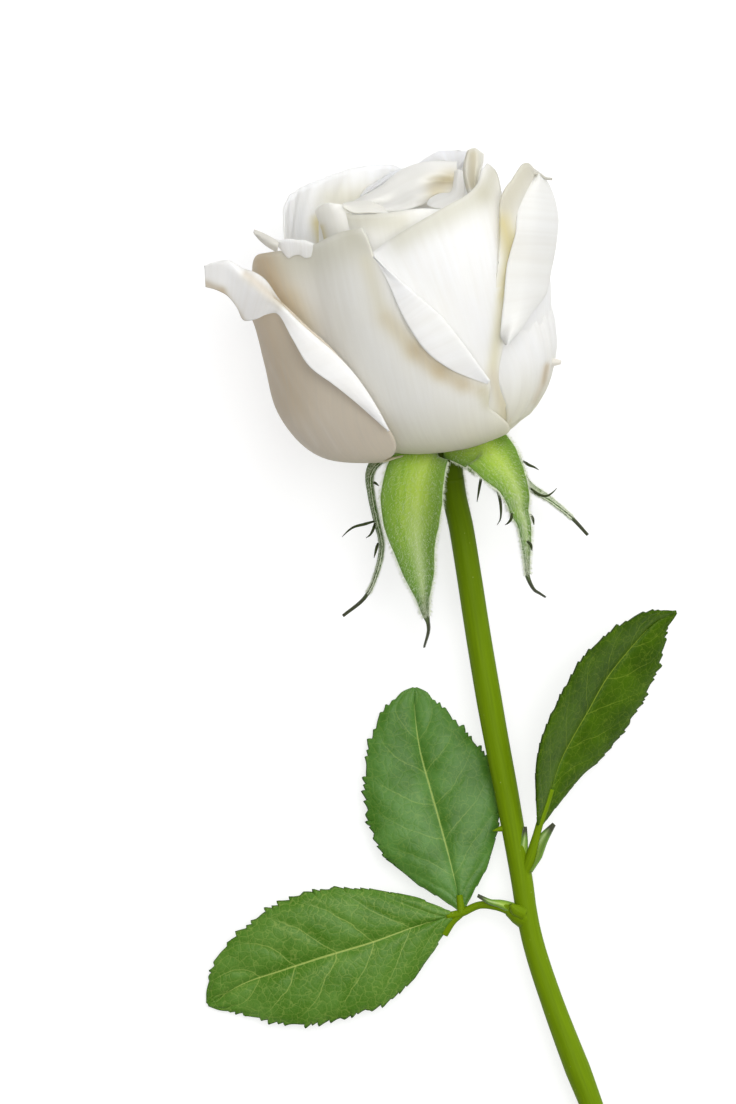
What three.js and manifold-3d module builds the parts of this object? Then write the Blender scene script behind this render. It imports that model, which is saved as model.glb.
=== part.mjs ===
// A cut white rose lying on its side: one half open bloom, its green calyx with reflexed sepals, a curved
// stem, a compound leaf with two leaflets on the left and a single leaflet on the right.
//
// All sizes are in millimetres. The table is the plane z = 0, +Z is up and the head points along +Y.
// The origin is the middle of the small flat spot under the bloom, where its weight rests.
import * as THREE from "three";
import { mergeVertices } from "three/addons/utils/BufferGeometryUtils.js";
import Module from "manifold-3d";

const wasm = await Module();
wasm.setup();

// Driving dimensions
const GAP = 0.3;
const PETAL_THICKNESS = 0.75;
const LEAF_THICKNESS = 0.7;
const SEPAL_THICKNESS = 0.9;

const BLOOM_BASE = [4.4, -24.2, 21.4];
const BLOOM_LEAN_LEFT = 10.4;
const BLOOM_LEAN_UP = 15;
const CLAW_RADIUS = 3;
const CLAW_HALF_WIDTH = 4;

const TABLE = 0;
const PRESSED = PETAL_THICKNESS / 2;
const PRESSED_SNAP = 0.12;

const CORE = [[0, 0.6], [9, 1], [17, 4.5], [20.5, 12], [20.5, 26], [17, 40], [11, 50], [4, 54.5], [0, 55]];
const CORE_SIDES = 12;

// Each petal is drawn as if pressed flat. Its outline is given by its left edge, top edge and right edge,
// seen from outside, as [across, up] from the middle of its claw. The flat sheet is then rolled over its
// fold lines and wrapped on a cup of revolution around the bloom's axis.
// turn: the direction it faces, 0 to the right, 90 up to the viewer, 180 to the left.
// cup: the handles [radius, height] of the curve that the petal's midline follows, from claw to rim.
const PETALS = [
  {
    name: "guard left",
    turn: 165,
    cup: [[48, -6], [31, 31], [46, 49]],
    left: [[-4, 0], [-22, 14], [-30, 34], [-30, 56], [-24, 70]],
    top: [[-24, 70], [-12, 78], [0, 82], [14, 86], [26, 88], [33, 80]],
    right: [[4, 0], [20, 12], [30, 26], [36, 40], [38, 50], [37.5, 60], [36, 70], [33, 80]],
    folds: [
      { at: [25.3, 57.9], facing: 16, radius: 2.6, angle: 165 },
      { at: [4, 71], facing: 100, radius: 3, angle: 130 },
    ],
    columns: 12,
    rows: 12,
    floor: 3,
  },
  {
    name: "guard back",
    turn: -100,
    cup: [[32.7, -3.4], [32.5, 27], [29.2, 52]],
    left: [[-4, 0], [-20, 12], [-31, 30], [-31, 50]],
    top: [[-31, 50], [-26, 62], [-12, 68], [0, 70], [12, 68], [26, 62], [31, 50]],
    right: [[4, 0], [20, 12], [31, 30], [31, 50]],
    folds: [{ at: [0, 62], facing: 90, radius: 2.5, angle: 110 }],
    columns: 8,
    rows: 7,
    floor: PRESSED,
  },
  {
    name: "guard right",
    turn: 5,
    cup: [[33, -3.2], [32.6, 20], [26.4, 36]],
    left: [[-4, 0], [-20, 12], [-28, 24], [-34, 34], [-33, 40]],
    top: [[-33, 40], [-27, 44], [-18, 48], [-8, 50.5], [6, 50], [20, 44], [26, 36]],
    right: [[4, 0], [14, 10], [24, 22], [26, 36]],
    columns: 8,
    rows: 7,
    floor: PRESSED,
  },
  {
    name: "front",
    turn: 108,
    cup: [[33, -3.4], [33, 28], [26.5, 56]],
    left: [[-4, 0], [-22, 12], [-36, 32], [-39, 50], [-38, 62]],
    top: [[-38, 62], [-35, 66], [-30, 65.5], [-19, 68], [-8, 72.8], [-1.5, 74], [5.3, 69.3], [13, 61.9]],
    right: [[4, 0], [12, 12], [18, 24], [20, 37], [20.5, 48], [18, 56], [13, 61.9]],
    folds: [{ at: [6.8, 53.6], facing: 30, radius: 2.2, angle: 168 }],
    flare: { reach: 8, from: -17, to: -38 },
    columns: 14,
    rows: 12,
    floor: 2,
  },
  {
    name: "front right",
    turn: 60,
    cup: [[30.4, -3.6], [30.4, 30.5], [25.5, 61]],
    left: [[-4, 0], [-20, 12], [-31, 30], [-32, 50], [-30, 62]],
    top: [[-30, 62], [-20.8, 67], [-13.4, 70], [-5.7, 72.4], [-1.1, 73.4], [2.7, 75.2], [5.6, 77.6],
      [9, 78]],
    right: [[4, 0], [5, 12], [4, 20], [-2.5, 34], [-1.9, 41], [1.5, 50], [5.5, 57],
      [8, 62], [7, 67], [8, 72], [9, 78]],
    columns: 10,
    rows: 10,
    floor: 2,
  },
  {
    name: "right",
    turn: 30,
    cup: [[29.6, -3.6], [29.6, 30.5], [26.5, 61]],
    left: [[-4, 0], [-20, 12], [-28, 30], [-26, 54], [-22, 64]],
    top: [[-22, 64], [-12, 72], [-4, 77], [-1, 78.3], [4, 75], [12, 70], [20, 62]],
    right: [[4, 0], [16, 12], [24, 30], [25, 46], [20, 62]],
    columns: 8,
    rows: 8,
    floor: 2,
  },
  {
    name: "back left",
    turn: 225,
    cup: [[31, -3.5], [31, 29.5], [27, 59]],
    left: [[-4, 0], [-20, 12], [-31, 32], [-31, 52], [-29, 64]],
    top: [[-29, 64], [-20, 73.5], [-8, 75.2], [2, 75], [12, 75], [19, 72.5], [24, 64]],
    right: [[4, 0], [20, 12], [28, 32], [27, 52], [24, 64]],
    columns: 8,
    rows: 7,
    floor: 1.5,
  },
  {
    name: "back",
    turn: -75,
    cup: [[28, -3.5], [28, 30.5], [22.5, 61]],
    left: [[-4, 0], [-20, 12], [-28, 32], [-27, 52], [-22, 64]],
    top: [[-22, 64], [-15, 72.5], [-9.7, 74.8], [-3.3, 75], [2, 72], [9.4, 70], [16, 67], [21, 60]],
    right: [[4, 0], [20, 12], [28, 32], [26, 50], [21, 60]],
    columns: 8,
    rows: 7,
    floor: 2.4,
  },
  {
    name: "front inner",
    turn: 100,
    cup: [[26, -3.5], [25.5, 29.5], [19.5, 59]],
    left: [[-4, 0], [-20, 12], [-30, 32], [-30, 52], [-27, 62]],
    top: [[-27, 62], [-24, 70], [-15.7, 71], [-11, 69.8], [-1.5, 69.6], [6.2, 69.2], [14, 66], [21, 58]],
    right: [[4, 0], [20, 12], [28, 32], [26, 48], [21, 58]],
    columns: 8,
    rows: 7,
    floor: 3,
  },
];

// The lobe of the right petal that hangs down outside over its neighbours. Its edges are given as
// [direction, distance along the cup] from the rim to the tip.
const LOBE = {
  cup: [[29.6, -3.6], [29.6, 30.5], [26.5, 61]],
  left: [[30, 77.5], [36, 74], [42, 70.5], [45, 67], [51, 61.5], [60, 53.5], [63.5, 47.5], [63.5, 43]],
  right: [[6, 73], [-14, 68], [-22, 62], [-16, 56], [6, 52], [34, 48.6], [50, 44.5], [62, 41.5]],
  lift: 3.4,
  columns: 6,
  rows: 10,
};

// The inner petals, from outside inwards.
const HEART_FIRST_TURN = 262;
const HEART_TURN_STEP = 137.5;
const HEART_RADII = [20.5, 18.6, 17, 15, 13, 11, 9, 7, 5];
const HEART_HEIGHTS = [61, 61.5, 60.5, 60, 59.5, 59.5, 59, 58.5, 57.5];
const HEART_TOP_SHARE = 0.84;
const HEART_COLUMNS = 6;
const HEART_ROWS = 5;

const HIP_PATH = [[4.4, -24.2, 21.4], [4.7, -28, 20.1], [5, -32.4, 18.8], [5.3, -36.4, 17.6]];
const HIP_RADII = [5.6, 6.3, 4.9, 3.5];
const HIP_SIDES = 12;
const HIP_RINGS = 7;

// Sepals: the midline from the hip outwards, the half width along it, and the side that the inner face
// shows.
const SEPALS = [
  {
    path: [[3.6, -27, 23.5], [0.2, -26.8, 27.8], [-3, -29, 30.6], [-4.3, -34.7, 31], [-4.5, -44.2, 28],
      [-2.9, -54.1, 24], [-1.6, -62.1, 20.5], [-1.8, -70.1, 18]],
    half: [2.4, 4.6, 6.2, 6.7, 5.4, 3.3, 1, 0.45],
    face: [-0.15, -0.1, 1],
  },
  {
    path: [[5.6, -27, 23.5], [9, -25.6, 28.5], [13.2, -27.2, 31], [16.6, -33, 29.6], [19.4, -41.5, 25],
      [21.2, -49, 21], [22.6, -54.6, 18.6], [25.3, -59, 17]],
    half: [2.4, 4.2, 5.2, 4.4, 2.8, 1.8, 0.8, 0.45],
    face: [0.35, 0.05, 1],
  },
  {
    path: [[6, -27.4, 20.5], [12.5, -25.6, 19], [18, -28, 17], [21.4, -34.1, 14.5], [26.3, -37.4, 13],
      [31.2, -41.4, 12], [34.8, -45.2, 11]],
    half: [2.2, 3.8, 4.4, 3.6, 2.4, 1.2, 0.45],
    face: [0.85, 0.45, 0.3],
  },
  {
    path: [[3.4, -27.4, 20.5], [-4, -26, 18.6], [-10.4, -27.6, 18], [-13.5, -31.4, 17.5], [-13.3, -36.4, 17],
      [-12.2, -42, 16.5], [-11.1, -47.6, 16], [-12.2, -53.4, 15.5], [-14.8, -59, 15], [-19.8, -63.2, 14.5]],
    half: [2.2, 3.6, 4.2, 3.9, 3.2, 2.5, 1.9, 1.2, 0.7, 0.45],
    face: [-1, -0.1, 0.12],
  },
  {
    path: [[4.8, -27.6, 17.5], [5, -27.4, 11.5], [5.6, -31, 7], [6.6, -38, 5], [7.6, -47, 4.4],
      [8.4, -56, 3.6], [8.6, -63, 2.4]],
    half: [2.2, 4, 5.2, 5.2, 3.6, 1.6, 0.45],
    face: [0, 0.1, -1],
  },
];
const SEPAL_CHANNEL = 0.22;
const SEPAL_STATIONS = 12;
const SEPAL_COLUMNS = 2;

// The stem's middle line from the hip to the slanted cut, with its radius at each point.
const STEM_PATH = [[5.35, -36.9, 17.3], [6.4, -43, 15.4], [7.9, -51.9, 14], [10.7, -69.7, 12.2],
  [13.8, -87.6, 10.9], [17.2, -105.4, 9.8], [20.2, -122.6, 8.8], [21.2, -129.4, 8.4], [23, -137.4, 7.9],
  [27.2, -150.2, 7.1], [35.6, -172.2, 5.9], [46.6, -201, 4.6], [58.4, -233, 3.3], [68.4, -260.6, 2.25]];
const STEM_RADII = [3.3, 3.1, 2.95, 2.7, 2.5, 2.35, 2.5, 2.85, 2.3, 2.15, 2.1, 2.1, 2.15, 2.2];
const STEM_SIDES = 12;
const STEM_RINGS = 34;
const STEM_CUT_SLANT = 0.7;
const PRICKLES = [
  { at: [15.9, -110.6, 9.9], tip: [12.9, -111.4, 10.4], radius: 1 },
  { at: [43.4, -191.5, 6.9], tip: [41.8, -191.2, 9.4], radius: 1.1 },
];

const LEFT_PETIOLE = [[22.2, -129.8, 8.6], [18.6, -129.2, 9.2], [15.3, -128.2, 9.2], [10.8, -127.8, 8.6],
  [6.6, -129.6, 7.8], [3.4, -130.3, 7.4]];
const LEFT_PETIOLE_RADII = [1.5, 1.35, 0.95, 0.85, 0.9, 0.8];
const LEFT_FORK = [[6.6, -129.6, 7.8], [6.5, -128, 7.8], [6.2, -125.6, 7.7]];
const LEFT_FORK_RADII = [0.95, 0.85, 0.75];
const LEFT_STUB = [[7.4, -129, 7.8], [4.6, -131.7, 7.1], [2.8, -134.4, 6.4]];
const LEFT_STUB_RADII = [0.85, 0.8, 0.95];
const LEFT_STIPULE = {
  path: [[19.4, -129, 9.4], [15.6, -127.5, 10], [13, -126.9, 10.6], [10.3, -125.5, 11.2]],
  half: [1.7, 1.6, 1.1, 0.45],
  face: [0.1, 0.5, 1],
};
const LEFT_BUD = [[20.2, -129.6, 10.4], [18.6, -128.6, 11.4], [17.6, -127.6, 12.2]];
const LEFT_BUD_RADII = [1.5, 1.4, 0.5];

const RIGHT_PETIOLE = [[20.2, -121.8, 9], [22, -116.9, 10.8], [24.1, -109.3, 12.2], [25.7, -104.7, 12.4],
  [26.6, -101.8, 12.4]];
const RIGHT_PETIOLE_RADII = [1.5, 1.2, 0.85, 0.8, 0.7];
const RIGHT_STIPULE = {
  path: [[21, -119.6, 9.8], [22.8, -116.6, 9.8], [24.8, -113, 10.2], [27.2, -109.6, 11]],
  half: [1.9, 2.1, 1.3, 0.45],
  face: [-0.6, 0.3, 1],
};
const TWIG_SIDES = 6;
const TWIG_RINGS = 7;

// Leaflets: the midrib, the half widths on its left and right as seen from base to tip, the tilt of each
// half from level in degrees, and the number of teeth on each side.
const LEAFLET_UPPER = {
  midrib: [[6.6, -128.5, 7.7], [4.1, -117.8, 7.4], [1.7, -108.9, 6.4], [-0.3, -101.8, 5.2],
    [-2.6, -93.1, 3.6], [-3.7, -84.4, 1.8], [-3.7, -79.5, 0.9]],
  left: [[0, 1], [0.14, 7.9], [0.3, 13.6], [0.46, 14.8], [0.62, 13.4], [0.77, 10.4], [0.9, 7], [0.97, 3],
    [1, 0.4]],
  right: [[0, 1], [0.14, 7.1], [0.3, 11.8], [0.46, 14.2], [0.62, 13.4], [0.77, 10.4], [0.9, 6.4], [0.97, 3],
    [1, 0.4]],
  leftTilt: [-12, 2],
  rightTilt: [-8, 4],
};
const LEAFLET_LOWER = {
  midrib: [[4.4, -130.2, 7.6], [-4, -132.8, 7.2], [-13, -136.1, 6.8], [-23.4, -139.3, 5.9],
    [-33.9, -142.8, 4.3], [-41.8, -145.6, 2.6], [-50.1, -150.4, 0.8]],
  left: [[0, 1], [0.1, 7], [0.21, 11.6], [0.34, 15.2], [0.52, 15.4], [0.66, 14.2], [0.83, 9.4], [0.95, 3.6],
    [1, 0.4]],
  right: [[0, 1], [0.1, 6.4], [0.25, 12], [0.4, 15], [0.52, 15.8], [0.66, 14.8], [0.81, 10.9], [0.93, 5.8],
    [1, 0.4]],
  leftTilt: [-14, 0],
  rightTilt: [-4, 3],
};
const LEAFLET_RIGHT = {
  midrib: [[25.7, -104.7, 12.4], [28.6, -95.5, 12.2], [31.2, -90.4, 11.8], [34.8, -84.2, 11.2],
    [38.9, -77.1, 10.2], [44.8, -69.8, 8.4], [50, -64.6, 6.8], [54.7, -62.4, 5.6]],
  left: [[0, 0.9], [0.1, 7.6], [0.25, 12.2], [0.42, 13.4], [0.6, 12.8], [0.76, 10.6], [0.88, 7],
    [0.96, 3.4], [1, 0.4]],
  right: [[0, 0.9], [0.1, 6], [0.25, 11.2], [0.42, 13.2], [0.6, 13.4], [0.76, 11.6], [0.88, 8],
    [0.96, 3.6], [1, 0.4]],
  leftTilt: [60, 50],
  rightTilt: [-46, -34],
};
const TEETH = 14;
const TOOTH_DEPTH = 0.06;
const TOOTH_SWEEP = 0.45;
const LEAF_ARCH = 0.07;

const MATERIALS = {
  petal: { color: "#f4f3ec", roughness: 0.55, metalness: 0 },
  sepal: { color: "#7fa531", roughness: 0.6, metalness: 0 },
  stem: { color: "#6f9410", roughness: 0.42, metalness: 0 },
  leaf: { color: "#3f7433", roughness: 0.45, metalness: 0 },
  leafDark: { color: "#2f5f16", roughness: 0.45, metalness: 0 },
};

// The bloom's own directions: out along its axis, to the right, and up towards the viewer.
const leanLeft = THREE.MathUtils.degToRad(BLOOM_LEAN_LEFT);
const leanUp = THREE.MathUtils.degToRad(BLOOM_LEAN_UP);
const base = new THREE.Vector3(...BLOOM_BASE);
const axis = new THREE.Vector3(
  -Math.sin(leanLeft) * Math.cos(leanUp),
  Math.cos(leanLeft) * Math.cos(leanUp),
  Math.sin(leanUp),
);
const across = new THREE.Vector3(Math.cos(leanLeft), Math.sin(leanLeft), 0);
const front = new THREE.Vector3().crossVectors(across, axis);

function smooth(value, low, high) {
  return THREE.MathUtils.smoothstep(value, low, high);
}

// A point on a smooth line through flat points, by its share of the length.
function flatLine(points) {
  const places = points.map(([x, y]) => new THREE.Vector3(x, y, 0));
  const curve = new THREE.CatmullRomCurve3(places, false, "centripetal");
  return (share) => curve.getPointAt(THREE.MathUtils.clamp(share, 0, 1));
}

function spaceLine(points) {
  const places = points.map((point) => new THREE.Vector3(...point));
  return new THREE.CatmullRomCurve3(places, false, "centripetal");
}

// A value read from a list that is spread evenly over 0 to 1.
function along(values, share) {
  const place = THREE.MathUtils.clamp(share, 0, 1) * (values.length - 1);
  const first = Math.min(Math.floor(place), values.length - 2);
  return THREE.MathUtils.lerp(values[first], values[first + 1], place - first);
}

// A value read from a list of [share, value].
function profile(pairs, share) {
  for (let i = 1; i < pairs.length; i += 1) {
    if (share <= pairs[i][0]) {
      const part = (share - pairs[i - 1][0]) / (pairs[i][0] - pairs[i - 1][0]);
      return THREE.MathUtils.lerp(pairs[i - 1][1], pairs[i][1], part);
    }
  }
  return pairs[pairs.length - 1][1];
}

// The curve from claw to rim, read by the distance along it.
function cupCurve([shoulder, waist, rim]) {
  const curve = new THREE.CubicBezierCurve3(
    new THREE.Vector3(CLAW_RADIUS, 0, 0),
    new THREE.Vector3(...shoulder, 0),
    new THREE.Vector3(...waist, 0),
    new THREE.Vector3(...rim, 0),
  );
  const length = curve.getLength();
  return (distance) => {
    const inside = THREE.MathUtils.clamp(distance, 0, length);
    const point = curve.getPointAt(inside / length);
    const way = curve.getTangentAt(inside / length);
    point.addScaledVector(way, distance - inside);
    return { radius: point.x, height: point.y, way };
  };
}

function bloomPoint(angle, radius, height) {
  return base.clone()
    .addScaledVector(axis, height)
    .addScaledVector(across, radius * Math.cos(angle))
    .addScaledVector(front, radius * Math.sin(angle));
}

// Rolls the sheet outwards beyond a straight fold line.
function rollOver(point, { at, facing, radius, angle }) {
  const turn = THREE.MathUtils.degToRad(facing);
  const out = [Math.cos(turn), Math.sin(turn)];
  const beyond = Math.max((point.x - at[0]) * out[0] + (point.y - at[1]) * out[1], 0);
  const limit = THREE.MathUtils.degToRad(angle);
  const bent = Math.min(beyond / radius, limit);
  const rest = Math.max(beyond - radius * limit, 0);
  const level = radius * Math.sin(bent) + rest * Math.cos(bent) - point.z * Math.sin(bent);
  const lift = radius * (1 - Math.cos(bent)) + rest * Math.sin(bent) + point.z * Math.cos(bent);
  return new THREE.Vector3(point.x + (level - beyond) * out[0], point.y + (level - beyond) * out[1], lift);
}

// The middle sheet of a petal as rows of points.
function petalSheet({ turn, cup, left, top, right, folds = [], flare, columns, rows, floor }) {
  const curve = cupCurve(cup);
  const leftEdge = flatLine(left);
  const rightEdge = flatLine(right);
  const topEdge = flatLine(top);
  const facing = THREE.MathUtils.degToRad(turn);
  const sheet = [];
  for (let j = 0; j <= rows; j += 1) {
    const v = j / rows;
    const row = [];
    for (let i = 0; i <= columns; i += 1) {
      const u = i / columns;
      const a = leftEdge(v);
      const b = rightEdge(v);
      const c = topEdge(u);
      const d = new THREE.Vector3(THREE.MathUtils.lerp(-CLAW_HALF_WIDTH, CLAW_HALF_WIDTH, u), 0, 0);
      const side = a.clone().lerp(b, u);
      const upright = d.lerp(c, v);
      const bottomLeft = new THREE.Vector3(-CLAW_HALF_WIDTH, 0, 0);
      const bottomRight = new THREE.Vector3(CLAW_HALF_WIDTH, 0, 0);
      const corner = bottomLeft.lerp(bottomRight, u).lerp(leftEdge(1).lerp(rightEdge(1), u), v);
      let flat = side.add(upright).sub(corner);
      flat = folds.reduce(rollOver, flat);
      const { radius, height, way } = curve(flat.y);
      const around = Math.max(radius, CLAW_RADIUS);
      const rise = smooth(flat.y, 20, 60);
      const open = flare ? flare.reach * smooth(-flat.x, -flare.from, -flare.to) * rise : 0;
      const point = bloomPoint(
        facing - flat.x / around,
        Math.max(radius + flat.z * way.y + open, 0.4),
        height - flat.z * way.x,
      );
      point.z = Math.max(point.z, TABLE + floor);
      row.push(point);
    }
    sheet.push(row);
  }
  return sheet;
}

function lobeSheet({ cup, left, right, lift, columns, rows }) {
  const curve = cupCurve(cup);
  const leftEdge = flatLine(left);
  const rightEdge = flatLine(right);
  const sheet = [];
  for (let j = 0; j <= rows; j += 1) {
    const v = j / rows;
    const row = [];
    for (let i = 0; i <= columns; i += 1) {
      const u = i / columns;
      const spot = leftEdge(v).lerp(rightEdge(v), u);
      const { radius, height, way } = curve(spot.y);
      const sunk = 0.75 * smooth(u, 0.55, 1) * (1 - smooth(v, 0.6, 0.9));
      const raised = lift * smooth(v, -0.1, 0.16) * (1 - sunk);
      const angle = THREE.MathUtils.degToRad(spot.x);
      row.push(bloomPoint(angle, radius + raised * way.y, height - raised * way.x));
    }
    sheet.push(row);
  }
  return sheet;
}

function heartSheets() {
  return HEART_RADII.map((belly, i) => {
    const height = HEART_HEIGHTS[i];
    const half = belly * 1.25;
    const reach = height + belly * 0.45;
    return petalSheet({
      turn: HEART_FIRST_TURN + HEART_TURN_STEP * i,
      cup: [[belly * 1.18, -3], [belly * 1.18, height * 0.5], [belly * HEART_TOP_SHARE, height]],
      left: [[-4, 0], [-half * 0.8, reach * 0.25], [-half, reach * 0.6], [-half * 0.8, reach * 0.88]],
      top: [[-half * 0.8, reach * 0.88], [-half * 0.4, reach * 0.98], [0, reach], [half * 0.4, reach * 0.98],
        [half * 0.8, reach * 0.88]],
      right: [[4, 0], [half * 0.8, reach * 0.25], [half, reach * 0.6], [half * 0.8, reach * 0.88]],
      folds: [{ at: [0, reach * 0.95], facing: 80, radius: 2, angle: 70 }],
      columns: HEART_COLUMNS,
      rows: HEART_ROWS,
      floor: 4,
    });
  });
}

// A closed plate around a middle sheet, with the same diagonals on both faces.
function plate(sheet, thickness, lowest = -Infinity) {
  const rows = sheet.length;
  const columns = sheet[0].length;
  const positions = [];
  const normals = sheet.map((row, j) => row.map((point, i) => {
    const alongRow = sheet[j][Math.min(i + 1, columns - 1)].clone().sub(sheet[j][Math.max(i - 1, 0)]);
    const upRow = sheet[Math.min(j + 1, rows - 1)][i].clone().sub(sheet[Math.max(j - 1, 0)][i]);
    return alongRow.cross(upRow).normalize();
  }));
  for (const side of [1, -1]) {
    sheet.forEach((row, j) => row.forEach((point, i) => {
      const moved = point.clone().addScaledVector(normals[j][i], side * thickness / 2);
      if (moved.z < lowest + PRESSED_SNAP) moved.z = lowest;
      positions.push(moved);
    }));
  }
  const count = rows * columns;
  const at = (j, i) => j * columns + i;
  const faces = [];
  for (let j = 0; j < rows - 1; j += 1) {
    for (let i = 0; i < columns - 1; i += 1) {
      const quad = [at(j, i), at(j, i + 1), at(j + 1, i + 1), at(j + 1, i)];
      const under = quad.map((corner) => corner + count);
      faces.push([quad[0], quad[1], quad[2]], [quad[0], quad[2], quad[3]]);
      faces.push([under[0], under[2], under[1]], [under[0], under[3], under[2]]);
    }
  }
  const rim = [];
  for (let i = 0; i < columns; i += 1) rim.push(at(0, i));
  for (let j = 1; j < rows; j += 1) rim.push(at(j, columns - 1));
  for (let i = columns - 2; i >= 0; i -= 1) rim.push(at(rows - 1, i));
  for (let j = rows - 2; j >= 1; j -= 1) rim.push(at(j, 0));
  rim.forEach((from, k) => {
    const to = rim[(k + 1) % rim.length];
    faces.push([from, from + count, to + count], [from, to + count, to]);
  });
  return solidFrom(positions, faces);
}

// -1 on the first of a row of stations, 1 on the last and 0 between them.
function endOf(station, last) {
  if (station === 0) return -1;
  return station === last ? 1 : 0;
}

// A rod of round rings along a space curve, closed at both ends. The last ring can be slanted.
function rod(points, radii, sides, rings, slant = 0, grow = 0) {
  const curve = spaceLine(points);
  const positions = [];
  for (let j = 0; j <= rings; j += 1) {
    const share = j / rings;
    const way = curve.getTangentAt(share);
    const middle = curve.getPointAt(share).addScaledVector(way, grow * endOf(j, rings));
    const side = way.clone().cross(new THREE.Vector3(0, 0, 1));
    if (side.length() < 0.2) side.set(1, 0, 0);
    side.normalize();
    const up = side.clone().cross(way);
    const radius = along(radii, share) + grow;
    for (let i = 0; i < sides; i += 1) {
      const angle = 2 * Math.PI * i / sides;
      const point = middle.clone().addScaledVector(side, radius * Math.cos(angle));
      point.addScaledVector(up, radius * Math.sin(angle));
      if (j === rings) point.addScaledVector(way, slant * radius * Math.sin(angle));
      positions.push(point);
    }
  }
  const faces = [];
  const startMiddle = positions.length;
  positions.push(curve.getPointAt(0).addScaledVector(curve.getTangentAt(0), -grow));
  const endMiddle = positions.length;
  positions.push(curve.getPointAt(1).addScaledVector(curve.getTangentAt(1), grow));
  for (let i = 0; i < sides; i += 1) {
    const next = (i + 1) % sides;
    for (let j = 0; j < rings; j += 1) {
      const a = j * sides + i;
      const b = j * sides + next;
      faces.push([a, b, b + sides], [a, b + sides, a + sides]);
    }
    faces.push([startMiddle, next, i], [endMiddle, rings * sides + i, rings * sides + next]);
  }
  return solidFrom(positions, faces);
}

// A blade along a midline with its half width, channelled across, seen from the side that face points to.
function bladeSheet({ path, half, face }, stations, columns, channel, grow = 0) {
  const curve = spaceLine(path);
  const up = new THREE.Vector3(...face).normalize();
  const sheet = [];
  for (let j = 0; j <= stations; j += 1) {
    const share = j / stations;
    const way = curve.getTangentAt(share);
    const middle = curve.getPointAt(share).addScaledVector(way, grow * endOf(j, stations));
    const side = way.clone().cross(up).normalize();
    const lift = side.clone().cross(way).normalize();
    const width = along(half, share) + grow;
    const row = [];
    for (let i = 0; i <= columns; i += 1) {
      const place = 2 * i / columns - 1;
      const raised = channel * width * (place * place - 0.4);
      row.push(middle.clone().addScaledVector(side, place * width).addScaledVector(lift, raised));
    }
    sheet.push(row);
  }
  return sheet;
}

// A leaflet with saw teeth that point to its tip.
function leafletSheet({ midrib, left, right, leftTilt, rightTilt }) {
  const curve = spaceLine(midrib);
  const stations = 2 * TEETH;
  const sheet = [];
  for (let j = 0; j <= stations; j += 1) {
    const share = j / stations;
    const tooth = j % 2 === 1 && j < stations;
    const row = [];
    const rim = (widths, tilt, way, hand) => {
      const middle = curve.getPointAt(share);
      const level = new THREE.Vector3(way.y, -way.x, 0).normalize().multiplyScalar(hand);
      const raise = THREE.MathUtils.degToRad(THREE.MathUtils.lerp(tilt[0], tilt[1], share));
      const out = level.multiplyScalar(Math.cos(raise));
      out.z += Math.sin(raise);
      const width = profile(widths, share) * (tooth ? 1 : 1 - TOOTH_DEPTH);
      const sweep = tooth ? TOOTH_SWEEP : 0;
      const edge = middle.clone().addScaledVector(out, width);
      edge.addScaledVector(way, sweep * smooth(width, 0, 3));
      const half = middle.clone().lerp(edge, 0.52);
      half.z += LEAF_ARCH * width;
      return { half, edge };
    };
    const way = curve.getTangentAt(share);
    const one = rim(left, leftTilt, way, -1);
    const other = rim(right, rightTilt, way, 1);
    row.push(one.edge, one.half, curve.getPointAt(share), other.half, other.edge);
    sheet.push(row.map((point) => {
      point.z = Math.max(point.z, TABLE + LEAF_THICKNESS / 2);
      return point;
    }));
  }
  return sheet;
}

function solidFrom(positions, faces) {
  const geometry = new THREE.BufferGeometry();
  const numbers = positions.flatMap((point) => point.toArray());
  geometry.setAttribute("position", new THREE.Float32BufferAttribute(numbers, 3));
  geometry.setIndex(faces.flat());
  return solidOf(geometry);
}

function solidOf(geometry) {
  const plain = geometry.clone();
  plain.deleteAttribute("normal");
  plain.deleteAttribute("uv");
  const merged = mergeVertices(plain, 1e-4);
  const solid = new wasm.Manifold(new wasm.Mesh({
    numProp: 3,
    vertProperties: new Float32Array(merged.attributes.position.array),
    triVerts: new Uint32Array(merged.index.array),
  }));
  return solid.volume() < 0 ? turned(merged) : solid;
}

function turned(merged) {
  const index = Array.from(merged.index.array);
  for (let i = 0; i < index.length; i += 3) [index[i], index[i + 1]] = [index[i + 1], index[i]];
  return new wasm.Manifold(new wasm.Mesh({
    numProp: 3,
    vertProperties: new Float32Array(merged.attributes.position.array),
    triVerts: new Uint32Array(index),
  }));
}

function joined(solids) {
  return solids.reduce((whole, solid) => whole.add(solid));
}

// The largest body alone: closed hollows inside it are filled and loose scraps are left out.
function largest(solid) {
  return solid.decompose().reduce((best, body) => (body.volume() > best.volume() ? body : best));
}

function meshOf(solid, name, look) {
  const { vertProperties, triVerts } = solid.getMesh();
  const geometry = new THREE.BufferGeometry();
  geometry.setAttribute("position", new THREE.BufferAttribute(vertProperties, 3));
  geometry.setIndex(new THREE.BufferAttribute(triVerts, 1));
  geometry.computeVertexNormals();
  const mesh = new THREE.Mesh(geometry, new THREE.MeshStandardMaterial(look));
  mesh.name = name;
  return mesh;
}

// Stem
const stemWith = (grow) => rod(STEM_PATH, STEM_RADII, STEM_SIDES, STEM_RINGS, STEM_CUT_SLANT, grow);
const prickles = PRICKLES.map(({ at, tip, radius }) => {
  return rod([at, tip], [radius, radius * 0.15], TWIG_SIDES, 2);
});
const stem = joined([stemWith(0), ...prickles]);
const stemSpace = joined([stemWith(GAP), ...prickles]);

// Calyx
const calyxWith = (grow) => joined([
  rod(HIP_PATH, HIP_RADII, HIP_SIDES, HIP_RINGS, 0, grow),
  ...SEPALS.map((sepal) => {
    const sheet = bladeSheet(sepal, SEPAL_STATIONS, SEPAL_COLUMNS, SEPAL_CHANNEL, grow);
    return plate(sheet, SEPAL_THICKNESS + 2 * grow);
  }),
]);
const calyx = calyxWith(0).subtract(stemSpace);

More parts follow.
